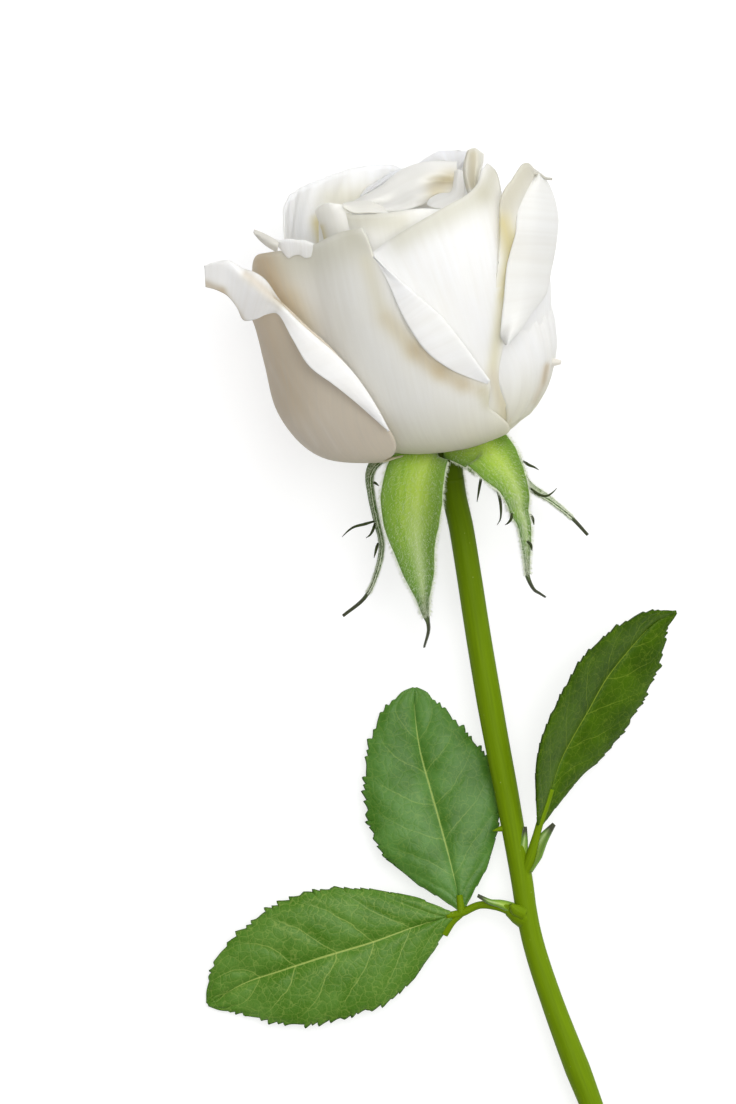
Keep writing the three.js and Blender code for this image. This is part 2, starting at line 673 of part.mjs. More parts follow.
// Bloom
const coreOutline = CORE.map(([radius, height]) => new THREE.Vector2(radius, height));
const coreShape = new THREE.LatheGeometry(coreOutline, CORE_SIDES);
const intoBloom = new THREE.Matrix4().makeBasis(across, axis, front.clone().negate());
coreShape.applyMatrix4(intoBloom.setPosition(base));
const core = solidOf(coreShape);
const petals = PETALS.map((petal) => plate(petalSheet(petal), PETAL_THICKNESS, TABLE));
const lobe = plate(lobeSheet(LOBE), PETAL_THICKNESS);
const heart = heartSheets().map((sheet) => plate(sheet, PETAL_THICKNESS));
const bloom = joined([core, ...petals, lobe, ...heart]).subtract(calyxWith(GAP)).subtract(stemSpace);

// Leaves
const twig = (points, radii) => rod(points, radii, TWIG_SIDES, TWIG_RINGS);
const stipule = (blade) => plate(bladeSheet(blade, 6, 2, SEPAL_CHANNEL), LEAF_THICKNESS);
const leaflet = (blade) => plate(leafletSheet(blade), LEAF_THICKNESS, TABLE);
const leafLeft = joined([
  twig(LEFT_PETIOLE, LEFT_PETIOLE_RADII),
  twig(LEFT_FORK, LEFT_FORK_RADII),
  twig(LEFT_STUB, LEFT_STUB_RADII),
  twig(LEFT_BUD, LEFT_BUD_RADII),
  stipule(LEFT_STIPULE),
  leaflet(LEAFLET_UPPER),
  leaflet(LEAFLET_LOWER),
]).subtract(stemSpace);
const leafRight = joined([
  twig(RIGHT_PETIOLE, RIGHT_PETIOLE_RADII),
  stipule(RIGHT_STIPULE),
  leaflet(LEAFLET_RIGHT),
]).subtract(stemSpace);

const rose = new THREE.Group();
rose.add(
  meshOf(largest(stem), "stem", MATERIALS.stem),
  meshOf(largest(calyx), "calyx", MATERIALS.sepal),
  meshOf(largest(bloom), "bloom", MATERIALS.petal),
  meshOf(largest(leafLeft), "leaf_left", MATERIALS.leaf),
  meshOf(largest(leafRight), "leaf_right", MATERIALS.leafDark),
);

export default rose;
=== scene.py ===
"""A cut white rose that lies on a pale table, seen from straight above.

Sizes are in millimetres until a mesh is written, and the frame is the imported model's: +Z is up, the table is
z = 0 and the head points along +Y.
"""

import math

import bpy
import numpy as np
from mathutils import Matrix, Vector
from mathutils.bvhtree import BVHTree


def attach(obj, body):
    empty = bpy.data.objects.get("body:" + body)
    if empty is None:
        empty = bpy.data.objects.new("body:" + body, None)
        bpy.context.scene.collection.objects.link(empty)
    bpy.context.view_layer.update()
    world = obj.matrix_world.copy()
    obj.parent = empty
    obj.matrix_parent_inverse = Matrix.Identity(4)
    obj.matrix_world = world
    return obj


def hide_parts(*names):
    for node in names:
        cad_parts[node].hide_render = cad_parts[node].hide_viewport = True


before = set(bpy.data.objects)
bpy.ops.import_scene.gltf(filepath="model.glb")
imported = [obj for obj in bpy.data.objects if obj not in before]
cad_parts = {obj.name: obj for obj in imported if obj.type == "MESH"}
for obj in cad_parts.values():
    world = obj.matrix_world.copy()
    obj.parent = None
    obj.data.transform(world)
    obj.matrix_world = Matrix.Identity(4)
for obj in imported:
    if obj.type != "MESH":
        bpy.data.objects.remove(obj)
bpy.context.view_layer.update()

MM = 0.001
DICE = np.random.default_rng(11)

# The camera looks straight down from here, with a long lens
EYE = np.array([-14.2, -49.0, 1500])
VIEW_HEIGHT = 247.84
FRAME_PIXELS = (736, 1104)
FRAME_MIDDLE = (FRAME_PIXELS[0] / 2, FRAME_PIXELS[1] / 2)
MM_PER_PIXEL = VIEW_HEIGHT / FRAME_PIXELS[1]

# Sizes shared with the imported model
BLOOM_BASE = np.array([4.4, -24.2, 21.4])
LEAN_LEFT = math.radians(10.4)
LEAN_UP = math.radians(15)
CLAW_RADIUS = 3
CLAW_HALF_WIDTH = 4

# Walls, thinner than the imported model's, as real ones are
PETAL_WALL = 0.35
LEAF_WALL = 0.5
SEPAL_WALL = 0.7

# The bloom's axis, its right and its upper side
AXIS = np.array([
    -math.sin(LEAN_LEFT) * math.cos(LEAN_UP),
    math.cos(LEAN_LEFT) * math.cos(LEAN_UP),
    math.sin(LEAN_UP),
])
ACROSS = np.array([math.cos(LEAN_LEFT), math.sin(LEAN_LEFT), 0])
FRONT = np.cross(ACROSS, AXIS)

# Petals, drawn as if pressed flat: left edge, top edge and right edge as [across, up] from the claw,
# seen from outside. turn is the way the petal faces: 0 right, 90 up to the viewer, 180 left. Its middle
# follows a curve in [radius, height], given by the handles in cup or the points in midline. folds roll it
# outwards beyond a straight line, hug draws its right half in and flare opens its left one. waves ripple
# the rim: [height, length, phase]. pleats fan out from the claw: [height, spacing]. A petal's tint and shade
# list is how brown, cream and grey the skin is all over, and each stain or painted shadow adds to that near
# a line seen from above: [across, down, across, down, radius, brown, cream, grey]. The grey is painted shade.
# The brown is partly the skin's own tan and bruising and partly painted shade and shadow, on the outer face
# turned from the light and beside and under the rolled flaps. The cream is partly the skin's own and partly
# painted glow and shade in hollows and where a margin turns away. No point lies lower than floor.
PETALS = {
    "guard_left": dict(
        turn=165,
        midline=[[15, 0.8], [24, 2], [30.2, 3.9], [32.5, 5.8], [34.8, 9.2], [37, 15], [37.6, 25],
                 [38.6, 36], [42, 44], [47, 49]],
        left=[[-4, 0], [-22, 14], [-30, 34], [-30, 56], [-24, 68]],
        top=[[-24, 68], [-12, 71], [0, 72], [9, 73], [14.5, 71]],
        right=[[4, 0], [6, 12], [12, 21], [18, 26.5], [23.4, 29.5], [27, 33], [28.2, 37], [27.6, 42],
               [25.8, 47], [22.8, 52], [19, 57.5], [14.8, 63.2], [12, 71]],
        hug=7,
        # Painted shade: the grey and part of the brown darken the outer face turned from the light. The stains
        # add painted shade by the flap and on the sliver behind its crest; the lighter streaks are the petal's
        # own
        tint_and_shade=[0.55, 0, 0.2],
        stains_and_shadows=[
            [256, 320, 285, 400, 26, 0.5, 0, 0.15], [246, 271, 284, 302, 5, 0.35, 0, 0.35],
            [270, 365, 318, 446, 2.5, -0.2, 0, -0.1], [279, 360, 340, 452, 2, -0.15, 0, -0.1],
            [292, 366, 358, 456, 2, -0.12, 0, 0], [262, 345, 297, 424, 2.5, -0.2, 0, -0.1],
        ],
        floor=3,
    ),
    "guard_back": dict(
        turn=-100,
        cup=[[32.7, -3.4], [32.5, 27], [29.2, 52]],
        left=[[-4, 0], [-20, 12], [-31, 30], [-31, 50]],
        top=[[-31, 50], [-26, 62], [-12, 68], [0, 70], [12, 68], [26, 62], [31, 50]],
        right=[[4, 0], [20, 12], [31, 30], [31, 50]],
        folds=[dict(at=[0, 62], facing=90, radius=2.5, angle=110)],
        floor=0.375,
    ),
    "guard_right": dict(
        turn=5,
        midline=[[12, 2.2], [18.8, 4.7], [20.9, 6.8], [23.4, 10.3], [25.1, 14], [26.2, 18], [26.6, 22.7],
                 [26.3, 27], [25, 32]],
        left=[[-4, 0], [-10.6, 8.8], [-15.6, 16.3], [-20, 21.8], [-22.2, 24.4], [-25, 28.4], [-27.4, 33],
              [-27.4, 36.5]],
        top=[[-27.4, 36.5], [-23.4, 42], [-14, 48], [-6, 50.5], [6, 50], [20, 44], [26, 36]],
        right=[[4, 0], [14, 10], [24, 22], [26, 36]],
        pleats=[[0.22, 5.4], [0.08, 2.1]],
        tint_and_shade=[0, 0, 0.04],
        stains_and_shadows=[[546, 366, 543, 382, 3, 0.8, 0, 0], [541, 386, 534, 402, 3, 0.4, 0, 0]],
        floor=0.375,
    ),
    "front": dict(
        turn=108,
        cup=[[33, -0.9], [33, 27], [26.5, 56]],
        left=[[-4, 0], [-22, 12], [-36, 32], [-39, 50], [-38, 62]],
        top=[[-38, 62], [-34, 66], [-29, 67.5], [-19, 69], [-9, 72.3], [-3.5, 73]],
        right=[[4, 0], [12, 8], [19, 15], [20.1, 20.7], [18.7, 25.3], [17.2, 28.7], [18, 30.7], [18.7, 32.7],
               [19.1, 34.9], [16.8, 40.1], [14.4, 45.3], [12.7, 48.6], [11, 51.6], [8.3, 55.2], [5.5, 58.5],
               [2.2, 62.2], [-1, 65.4], [-1.8, 68.1], [-2.4, 70.5], [-3.5, 73]],
        flare=dict(reach=8, start=-17, end=-38),
        tint_and_shade=[0, 0.08, 0.05],
        # Painted shade and shadow: brown-grey beside the left petal's rolled flap, grey towards the tip and at
        # the lower corner, and a brownish-yellow shadow along the rolled front flap's free edge
        stains_and_shadows=[
            [262, 262, 285, 320, 16, 0.9, 0.2, 0], [290, 300, 305, 330, 12, 0.3, 0.3, 0],
            [285, 265, 345, 245, 22, 0, 0.1, 0.4], [367, 262, 380, 305, 8, 0.05, 0.2, 0.1],
            [386, 318, 415, 350, 9, 0.25, 0.35, 0], [415, 350, 440, 370, 9, 0.5, 0.4, 0],
            [440, 370, 462, 383, 8, 0.4, 0.35, 0], [462, 383, 478, 389, 7, 0.2, 0.2, 0],
            [330, 360, 380, 420, 20, 0, 0, 0.1], [352, 232, 366, 246, 10, 0.05, 0, 0.5],
            [484, 392, 488, 402, 7, 0, 0.3, 0.5],
        ],
        floor=2,
    ),
    "front_right": dict(
        turn=60,
        cup=[[30.4, -0.9], [30.4, 29.5], [25.5, 61]],
        left=[[-4, 0], [-20, 12], [-31, 30], [-32, 50], [-30, 62]],
        top=[[-30, 62], [-20.8, 67], [-13.4, 70], [-5.7, 72.4], [-1.1, 73.4], [2.4, 75], [4.4, 77.2],
             [6.6, 78.4]],
        right=[[4, 0], [5, 8], [5.4, 14], [4.7, 17.3], [3, 20.6], [0.9, 24.7], [-0.7, 28.4], [-1.3, 31],
               [-1.2, 34], [0, 38], [2.2, 43], [4.5, 50], [6.5, 57], [7.6, 62], [7.4, 67], [8.6, 72],
               [8.6, 76], [6.6, 78.4]],
        # Painted shade: grey along the top edge and at the tip, and a cream band along the right edge where
        # the margin turns away
        stains_and_shadows=[
            [400, 236, 478, 196, 15, 0, 0.15, 0.5], [484, 192, 495, 168, 9, 0.05, 0.1, 0.6],
            [508, 240, 502, 297, 4, 0, 0.7, 0.1], [502, 297, 493, 365, 6, 0, 0.5, 0.1],
            [493, 375, 506, 415, 7, 0.25, 0.4, 0],
        ],
        floor=2,
    ),
    "right": dict(
        turn=30,
        cup=[[27.5, -3.6], [27.5, 30.5], [29.5, 61]],
        left=[[-4, 0], [-12, 12], [-15, 30], [-14, 50], [-11, 62]],
        top=[[-11, 62], [-9.8, 70], [-7.7, 72.2], [-5.4, 73.3], [-3.2, 74.5], [-0.8, 75.4], [1.8, 75.2],
             [5.8, 72.8], [12.7, 69.8], [20, 64]],
        right=[[4, 0], [16, 12], [24, 30], [25, 46], [20, 64]],
        # Painted shade and glow: grey on the strip beside the flap, and yellow low down where the strip dives
        # under the next petal
        stains_and_shadows=[[503, 205, 526, 168, 16, 0.1, 0.2, 0.6], [502, 222, 510, 246, 9, 0.1, 1, 0],
                [512, 246, 505, 290, 8, 0, 0.9, 0]],
        floor=2,
    ),
    "back_left": dict(
        turn=225,
        cup=[[31, -3.5], [31, 29.5], [27, 59]],
        left=[[-4, 0], [-20, 12], [-31, 32], [-31, 52], [-29, 64]],
        top=[[-29, 64], [-20, 73.5], [-8, 75.2], [2, 75], [12, 75], [19, 72.5], [24, 64]],
        right=[[4, 0], [20, 12], [28, 32], [27, 52], [24, 64]],
        waves=[[0.25, 13, 0], [0.18, 5.3, 1]],
        tint_and_shade=[0, 0, 0.08],
        # The second stain is painted glow: yellow in the hollow beside the scroll
        stains_and_shadows=[[330, 200, 395, 195, 14, 0, 0.25, 0], [317, 222, 322, 242, 6, 0.1, 0.9, 0]],
        floor=1.5,
    ),
    "back": dict(
        turn=-75,
        cup=[[28, -3.5], [28, 30.5], [22.5, 61]],
        left=[[-4, 0], [-16, 12], [-20, 32], [-19, 52], [-16, 62]],
        top=[[-16, 62], [-12.5, 69], [-9, 73], [-3.3, 73], [2, 71], [9.4, 70], [16, 67], [21, 60]],
        right=[[4, 0], [20, 12], [28, 32], [26, 50], [21, 60]],
        waves=[[1, 8.5, 0.4], [0.45, 3.7, 2]],
        tint_and_shade=[0, 0.04, 0],
        stains_and_shadows=[[432, 195, 450, 186, 8, 0.25, 0.5, 0], [350, 204, 420, 200, 5, 0, 0.3, 0]],
        floor=2.4,
    ),
    "front_inner": dict(
        turn=100,
        cup=[[26, -3.5], [25.5, 29.5], [19.5, 59]],
        left=[[-4, 0], [-20, 12], [-30, 32], [-30, 52], [-27, 62]],
        top=[[-27, 62], [-24, 70], [-15.7, 71], [-11, 69.8], [-1.5, 69.6], [6.2, 69.2], [14, 66], [21, 58]],
        right=[[4, 0], [20, 12], [28, 32], [26, 48], [21, 58]],
        tint_and_shade=[0, 0.05, 0],
        # Painted shade: grey along the rim
        stains_and_shadows=[[325, 215, 400, 222, 12, 0, 0.15, 0.3]],
        floor=3,
    ),
}
PETAL_GRID = (70, 64)

# Rolled margins and loose lobes, seen from above: rails of [across, down, height] from behind the crest,
# over the crest and the swell of the flap to its free edge. Between its laid shares a flap goes over to
# lying on the petals below, clearance above them
FLAPS = {
    "petal_guard_left_flap": dict(
        behind=[[204, 267, 46.5], [214, 263, 48], [229, 261, 50], [243, 269, 50.5], [255, 273, 51],
                [265, 280, 51.5], [277, 297, 52.5], [287, 310, 53], [309, 334, 52.5], [335, 357, 52.5],
                [356, 380, 52.3], [376, 410, 51.4], [388, 431, 50]],
        crest=[[205, 267, 47.5], [217, 265, 50], [229, 265, 52], [242, 275, 53.6], [253, 283, 54.4],
               [264, 292, 54.8], [275, 301, 54.9], [287, 312, 54.8], [310, 333, 54.5], [336, 356, 54.3],
               [357, 379, 54], [377, 409, 53.2], [389, 431, 51]],
        edge=[[206, 287, 47.5], [217, 290, 49], [228, 296, 49.6], [237, 307, 49.8], [244, 320, 49.6],
              [256, 319, 51.5], [267, 314, 53], [277, 313, 53.8], [292, 338, 54], [309, 366, 54],
              [334, 385, 54], [358, 404, 53.4], [388, 430, 51]],
        swell=0.3,
        # Painted shade: brown-grey along the lobe's turned rim and on the sliver of inner face behind the
        # crest
        stains_and_shadows=[
            [204, 283, 222, 291, 4, 0.5, 0, 0.4], [222, 291, 242, 321, 4, 0.5, 0, 0.4],
            [246, 275, 280, 304, 4, 0.35, 0, 0.3],
        ],
    ),
    "petal_front_flap": dict(
        behind=[[373, 257, 59], [384, 268, 60], [399, 282, 60.2], [417, 298, 60], [437, 316, 59.6],
                [457, 340.5, 57.9], [473, 361.5, 55.6], [489, 382, 52.5]],
        crest=[[374, 256, 60], [385, 267, 60.8], [400, 281, 61], [418, 297, 60.9], [438, 315, 60.4],
               [458, 339.5, 58.8], [474, 360.5, 56.5], [489.5, 381, 53.4]],
        edge=[[374, 257, 59.7], [378.5, 265, 60.1], [387, 280, 60.2], [400, 310, 60], [412, 332, 59.5],
              [427, 352, 58.4], [450, 369, 56.7], [487, 384, 53.2]],
        swell=0.1,
        laid=[-0.2, -0.1],
        clearance=[-0.15, 0, 0.6, 1.1, 1.2, 0.9, 0.2],
    ),
    "petal_right_flap": dict(
        behind=[[536, 177, 42], [543, 184, 40], [550, 201, 38.5], [553, 217, 38], [552, 235, 38],
                [550, 250, 38], [546, 269, 39], [541, 290, 41], [530, 309, 46], [518, 327, 51],
                [508, 343, 53]],
        crest=[[539, 174, 43.5], [547, 182, 43], [554, 200, 42], [557, 217, 41.5], [556, 235, 41.5],
               [554, 250, 41.5], [550, 270, 42.5], [545, 294, 44], [532, 312, 48.5], [520, 330, 52.5],
               [508, 345, 53.8]],
        edge=[[538, 175, 44], [530, 182, 47.5], [521, 197, 51.3], [517, 215, 53], [516, 232, 53.7],
              [511, 250, 54], [507, 267, 54.4], [504, 300, 54.6], [501, 325, 54.3], [501, 337, 53.8],
              [506, 345, 52.8]],
        swell=2.6,
        # Painted shade: a little grey all over
        tint_and_shade=[0, 0, 0.16],
    ),
    "petal_front_lip": dict(
        behind=[[276, 241, 43], [281, 242, 43.6], [287, 241, 44.4], [292, 241, 45], [298, 242, 45.8],
                [304, 242, 46.5], [310, 244, 47.2], [316, 246, 47.8], [322, 246, 48]],
        crest=[[276, 240, 45], [281, 241, 46], [287, 240, 47], [292, 240, 47.7], [298, 241, 48.4],
               [304, 241, 49], [310, 243, 49.6], [316, 245, 50], [322, 246, 50]],
        edge=[[277, 244, 44.2], [284, 253, 45.2], [289, 258, 46], [294, 255.5, 47], [300, 255, 47.8],
              [306, 258, 48.6], [311, 256.5, 49.2], [315, 251, 49.6], [320, 247, 49.6]],
        swell=0.2,
    ),
    "petal_back_lip": dict(
        behind=[[362, 201, 13.6], [378, 192, 13.8], [394, 181, 14], [409, 176, 14], [421, 177, 14.5],
                [431, 173, 15], [444, 166, 16.5], [451, 170, 17.5], [456, 172, 18], [463, 165, 19],
                [468, 159, 20]],
        crest=[[361, 197, 15], [377, 187, 15.3], [393, 176, 15.6], [408, 171, 16], [420, 172, 16.3],
               [430, 168, 17], [443, 161, 18.4], [450, 166, 19], [455, 168, 19.6], [462, 161, 20.4],
               [467, 155, 21]],
        edge=[[360, 196, 14.6], [375, 185, 14.4], [389, 174, 14.2], [399, 170, 14], [413, 167, 14.5],
              [427, 158, 15], [438, 152, 16], [446, 151, 17], [453, 151, 18], [460, 152, 19],
              [467, 152, 20]],
        swell=0.6,
    ),
}
FLAP_GRID = (24, 120)
FLAP_REACH = 6
FLAP_EASE = 4
FLAP_SKIN = dict(width=40, start=64, height=8)

# Tongues, curls and folds of petal, seen from above: a rail down each side and the others between them
SLIVERS = {
    "petal_inner_tongue": [
        [[467, 153, 37], [464, 165, 39], [464, 177, 41], [467, 190, 43], [471, 200, 45]],
        [[469, 150, 39], [466.5, 165, 41.5], [467, 177, 43], [470, 190, 44.5], [473, 199, 46]],
        [[475, 148, 37], [475, 163, 37.5], [474, 177, 39], [475, 189, 42], [476, 197, 45]],
        [[484, 154, 37.5], [483, 163, 38], [480, 172, 39], [478.5, 182, 42], [479, 192, 46]],
    ],
    "petal_inner_ridge": [
        [[455, 171, 30], [454, 181, 33], [450, 193, 37], [440, 194, 37], [430, 199, 38], [427, 205, 40]],
        [[459, 170, 33], [458, 181, 36], [455, 194, 40], [446, 200, 41], [437, 203, 42], [431, 207, 43]],
        [[463, 172, 31], [463, 181, 34], [464, 192, 39], [461, 201, 42], [453, 207, 43], [445, 210, 44]],
    ],
    "petal_heart_scroll": [
        [[316, 211, 44.5], [318, 218, 43.6], [322, 229, 43.6], [325, 242, 43.6]],
        [[320, 206, 47.4], [321, 216, 45.6], [325, 228, 45.4], [328, 242, 45]],
        [[328, 203, 49.4], [328, 212, 48], [331, 227, 47.8], [334, 241, 47.3]],
        [[337, 204, 49], [337, 211, 49.4], [341, 228, 49.3], [344, 239, 49.2]],
        [[349, 206, 48.6], [352, 213, 49.6], [356, 228, 50], [358, 239, 50]],
    ],
    "petal_heart_crescent": [
        [[343, 207, 50.2], [353, 212.5, 51.2], [370, 212.5, 52], [390, 214, 52.6]],
        [[343, 205, 49], [353, 207, 49.6], [370, 206, 50], [386, 211, 51.4]],
        [[343, 204, 46], [353, 202, 45.5], [370, 202, 46], [383, 207, 48]],
    ],
    "petal_heart_drape": [
        [[344, 207, 23], [362, 197, 24], [380, 187, 24.5], [402, 170, 25], [428, 162, 26], [457, 162, 27]],
        [[346, 208, 25.5], [363, 199, 27.5], [380, 190, 27], [403, 175, 27], [429, 167, 28.4],
         [457, 168.5, 28.5]],
        [[350, 210, 29], [367, 203, 31.5], [386, 195, 30.4], [409, 182, 29.4], [434, 174, 31],
         [459, 176, 30]],
        [[356, 212, 29.2], [372, 207, 30], [391, 201, 31.4], [413, 190, 32.6], [438, 182, 29.4],
         [460, 184, 31]],
        [[365, 213, 34.5], [381, 210, 36], [399, 205, 34.6], [418, 196, 36.4], [442, 189, 36.2],
         [461, 192, 34.5]],
        [[378, 214, 35], [390, 213, 35.4], [406, 210, 37], [422, 205, 36], [445, 199, 36.4], [462, 203, 38]],
    ],
    "petal_front_curl": [
        [[254, 230, 42], [262, 233, 43], [270, 237, 44.5], [279, 242, 45.5]],
        [[254, 232, 43.5], [261, 236.5, 44.5], [269, 241, 46], [278, 246, 46.5]],
        [[255, 234, 42], [260, 240, 43], [267, 246, 44.5], [277, 252, 45]],
    ],
    "petal_right_curl": [
        [[531, 174.4, 46], [539, 173.2, 46], [545.4, 177.4, 45], [552, 178.5, 44]],
        [[531, 174.9, 46.3], [539, 173.9, 46.3], [545.2, 178.1, 45.3], [552, 179, 44.3]],
        [[531, 175.4, 46], [539, 174.6, 46], [545, 178.8, 45], [552, 179.5, 44]],
    ],
    "petal_right_tear": [
        [[543, 361, 33], [552, 359, 32], [561, 360.5, 31]],
        [[544, 365, 33.6], [552, 362.5, 32.6], [561, 362, 31.4]],
        [[543, 369, 33], [552, 366, 32], [560, 364, 31]],
    ],
}
SLIVER_GRID = (30, 48)
SLIVER_SKIN = dict(width=10, start=66, height=8)
# How brown, cream and grey each sliver is, and its stains. The grey is painted shade on the tongue, the curls,
# the tear and the crescent's lower edge; the scroll's cream stain is painted glow in its hollow; the rest of
# the cream and brown is partly the petals' own and partly painted shade
SLIVER_TINTS_AND_SHADES = {
    "petal_inner_tongue": dict(tint_and_shade=[0, 0.1, 0.4], stains_and_shadows=[[472, 155, 471, 185, 5, 0.25, 0.2, 0.6]]),
    "petal_heart_crescent": dict(tint_and_shade=[0, 0.18, 0.05]),
    "petal_heart_drape": dict(tint_and_shade=[0, 0.05, 0], stains_and_shadows=[[436, 190, 450, 180, 9, 0.3, 0.5, 0]]),
    "petal_heart_scroll": dict(tint_and_shade=[0, 0.15, 0], stains_and_shadows=[[321, 228, 325, 243, 4, 0.1, 0.8, 0]]),
    "petal_inner_ridge": dict(tint_and_shade=[0, 0.1, 0]),
    "petal_front_curl": dict(tint_and_shade=[0.1, 0, 0.4]),
    "petal_right_curl": dict(tint_and_shade=[0.1, 0, 0.8]),
    "petal_right_tear": dict(tint_and_shade=[0.2, 0, 0.2]),
}

# Inner petals, from outside inwards. The sides and the rim of each are [across, up] in shares of its half
# width and its length
HEART_SIDE = [[0.8, 0.25], [1, 0.6], [0.8, 0.88]]
HEART_RIM = [[-0.8, 0.88], [-0.4, 0.98], [0, 1], [0.4, 0.98], [0.8, 0.88]]
HEART_WIDTH_SHARE = 1.25
HEART_FULL_SHARE = 1.18
HEART_RIM_SHARE = 0.45
HEART_FIRST_TURN = 262
HEART_TURN_STEP = 137.5
HEART_RADII = [20.5, 18.6, 17, 15, 13, 11, 9, 7, 5]
HEART_HEIGHTS = [50, 49, 48, 47, 46, 45.5, 45, 44.5, 44]
# The inner petals' cream: partly their own colour and partly painted glow of light through them
HEART_TINT_AND_GLOW = [0, 0.45, 0]
HEART_TOP_SHARE = 0.84
HEART_GRID = (40, 36)

HIP_PATH = [[4.4, -24.2, 21.4], [4.1, -28, 20.1], [4.3, -32.4, 18.8], [4.9, -36.4, 17.6]]
HIP_RADII = [3.2, 2.8, 2.6, 2.3]
# Painted shade: the hip is darkened, lying under the bloom
HIP_PAINTED_SHADE = [0.9, 0.7]
HIP_GRID = (48, 24)

# Sepals: the midline from the hip outwards, the half width along it, the way that the hollow face looks,
# and how much painted shade darkens a sepal that lies in shade
SEPALS = {
    "sepal_front": dict(
        path=[[0.5, -25.5, 23.5], [-1.2, -26.4, 28], [-3, -29.6, 30.8], [-4.3, -35, 31], [-4.5, -44.2, 28],
              [-2.9, -54.1, 24], [-1.6, -62.1, 20.5], [-0.8, -66, 19.2], [-1.8, -70.2, 18]],
        half=[4, 5.4, 6.5, 6.9, 6.1, 4.5, 3.4, 1.5, 0.35, 0.12],
        painted_shade=0,
        face=[-0.15, -0.1, 1],
    ),
    "sepal_front_right": dict(
        path=[[2.6, -26.8, 23.5], [7, -26.3, 27], [11, -26.4, 29.4], [12.8, -27.8, 30.6],
              [14.8, -30.1, 30.8], [16.9, -32.9, 29.6], [18.6, -36.8, 27.6], [19.2, -40.1, 25.6],
              [20.1, -42.3, 24.4], [20.7, -46.3, 22.4], [21, -51.4, 20], [21.3, -54.5, 19],
              [22.8, -57.4, 18], [23.9, -58.1, 17.6], [25.3, -59, 17]],
        half=[1.4, 3.6, 5.9, 5.2, 3.65, 2.75, 1.7, 1.2, 0.62, 0.35, 0.12],
        painted_shade=0,
        face=[0.35, 0.05, 1],
    ),
    "sepal_right": dict(
        path=[[6, -27.4, 20.5], [12.5, -25.6, 19], [18, -28, 17], [21.4, -34.1, 14.5], [26.3, -37.4, 13],
              [31.2, -41.4, 12], [34.8, -45.2, 11]],
        half=[2.2, 3.8, 4.2, 3, 1.7, 1.2, 0.8, 0.4, 0.12],
        painted_shade=0.6,
        face=[0.85, 0.45, 0.3],
    ),
    "sepal_left": dict(
        path=[[3.4, -27.4, 20.5], [-4, -26, 18.6], [-10.4, -27.6, 18], [-13.5, -31.4, 17.5],
              [-13.3, -36.4, 17], [-12.2, -42, 16.5], [-11.1, -47.6, 16], [-12.2, -53.4, 15.5],
              [-14.8, -59, 15], [-19.8, -63.2, 14.5]],
        half=[2.2, 3.4, 3.8, 3.4, 2.8, 2.2, 1.6, 0.9, 0.4, 0.12],
        painted_shade=0.7,
        face=[-1, -0.1, 0.12],
    ),
    "sepal_under": dict(
        path=[[4.4, -27.6, 17.5], [4.4, -27.4, 11.5], [4.6, -31, 7], [5.6, -38, 5], [7.2, -47, 4.4],
              [8.4, -56, 3.6], [8.6, -63, 2.4]],
        half=[2.1, 2.3, 2.2, 2.1, 1.9, 1.3, 0.2],
        painted_shade=0.5,
        face=[0, 0.1, -1],
    ),
}
SEPAL_CHANNEL = 0.22
SEPAL_GRID = (16, 90)

# Thin dry side lobes of the sepals, seen from above: their paths as [across, down, height]
FILAMENTS = {
    "filament_1": [[482, 474, 28], [480, 484, 28.4], [478.5, 493, 28], [477, 502, 27]],
    "filament_2": [[497, 490, 29], [500, 500, 29], [501, 512, 28.4], [500, 520, 27.6], [497, 525, 27]],
    "filament_3": [[512, 513, 27.5], [511, 519, 27.5], [508, 523, 27], [505, 525, 26.4]],
    "filament_4": [[523, 461, 24], [529, 465, 24], [534, 467, 23.4], [539, 470, 23]],
    "filament_5": [[529, 487, 20], [538, 494, 20], [546, 496, 19.6], [552, 493, 19.2], [557, 488, 19]],
    "filament_6": [[375, 521, 17.6], [365, 524, 18], [354, 527, 18], [348, 531, 17.6], [342, 537, 17]],
    "filament_7": [[375, 523, 17.6], [373, 530, 18], [370, 535, 18], [366, 538, 17.6]],
    "filament_8": [[372, 483, 18.4], [375, 483, 19], [379, 486, 19]],
    "filament_9": [[378, 543, 16.6], [376, 550, 17], [374, 558, 17]],
    "filament_10": [[527, 541, 22.4], [531, 545, 22.6], [532, 551, 22.4]],
    "filament_11": [[530, 514, 23.6], [533, 519, 23.8], [534, 525, 23.6]],
}
FILAMENT_RADII = [0.2, 0.34, 0.3, 0.2, 0.06]
FILAMENT_GRID = (8, 24)

# Down: short hairs on the sepals' faces and a fringe of longer ones on their rims
FACE_HAIR_RADIUS = 0.022
RIM_HAIR_RADIUS = 0.05
FACE_HAIRS = 8000
RIM_HAIRS = 900
FACE_HAIR_LENGTH = 0.8
RIM_HAIR_LENGTH = 1.2
HAIR_ROOT_DEPTH = 0.1
HAIRY_SHARES = (0.03, 0.86)

STEM_PATH = [[4.3, -32.4, 18.8], [5, -36.9, 17.3], [6.4, -43, 15.4], [7.9, -51.9, 14], [10.7, -69.7, 12.2],
             [13.8, -87.6, 10.9], [17.2, -105.4, 9.8], [20.2, -122.6, 8.8], [21.2, -129.4, 8.4],
             [23, -137.4, 7.9], [27.2, -150.2, 7.1], [35.6, -172.2, 5.9], [46.6, -201, 4.6],
             [58.4, -233, 3.3], [68.4, -260.6, 2.25]]
STEM_RADII = [2.7, 2.75, 2.8, 2.85, 2.7, 2.5, 2.35, 2.5, 2.85, 2.3, 2.15, 2.1, 2.1, 2.15, 2.2]
STEM_CUT_SLANT = 0.7
STEM_GRID = (48, 400)
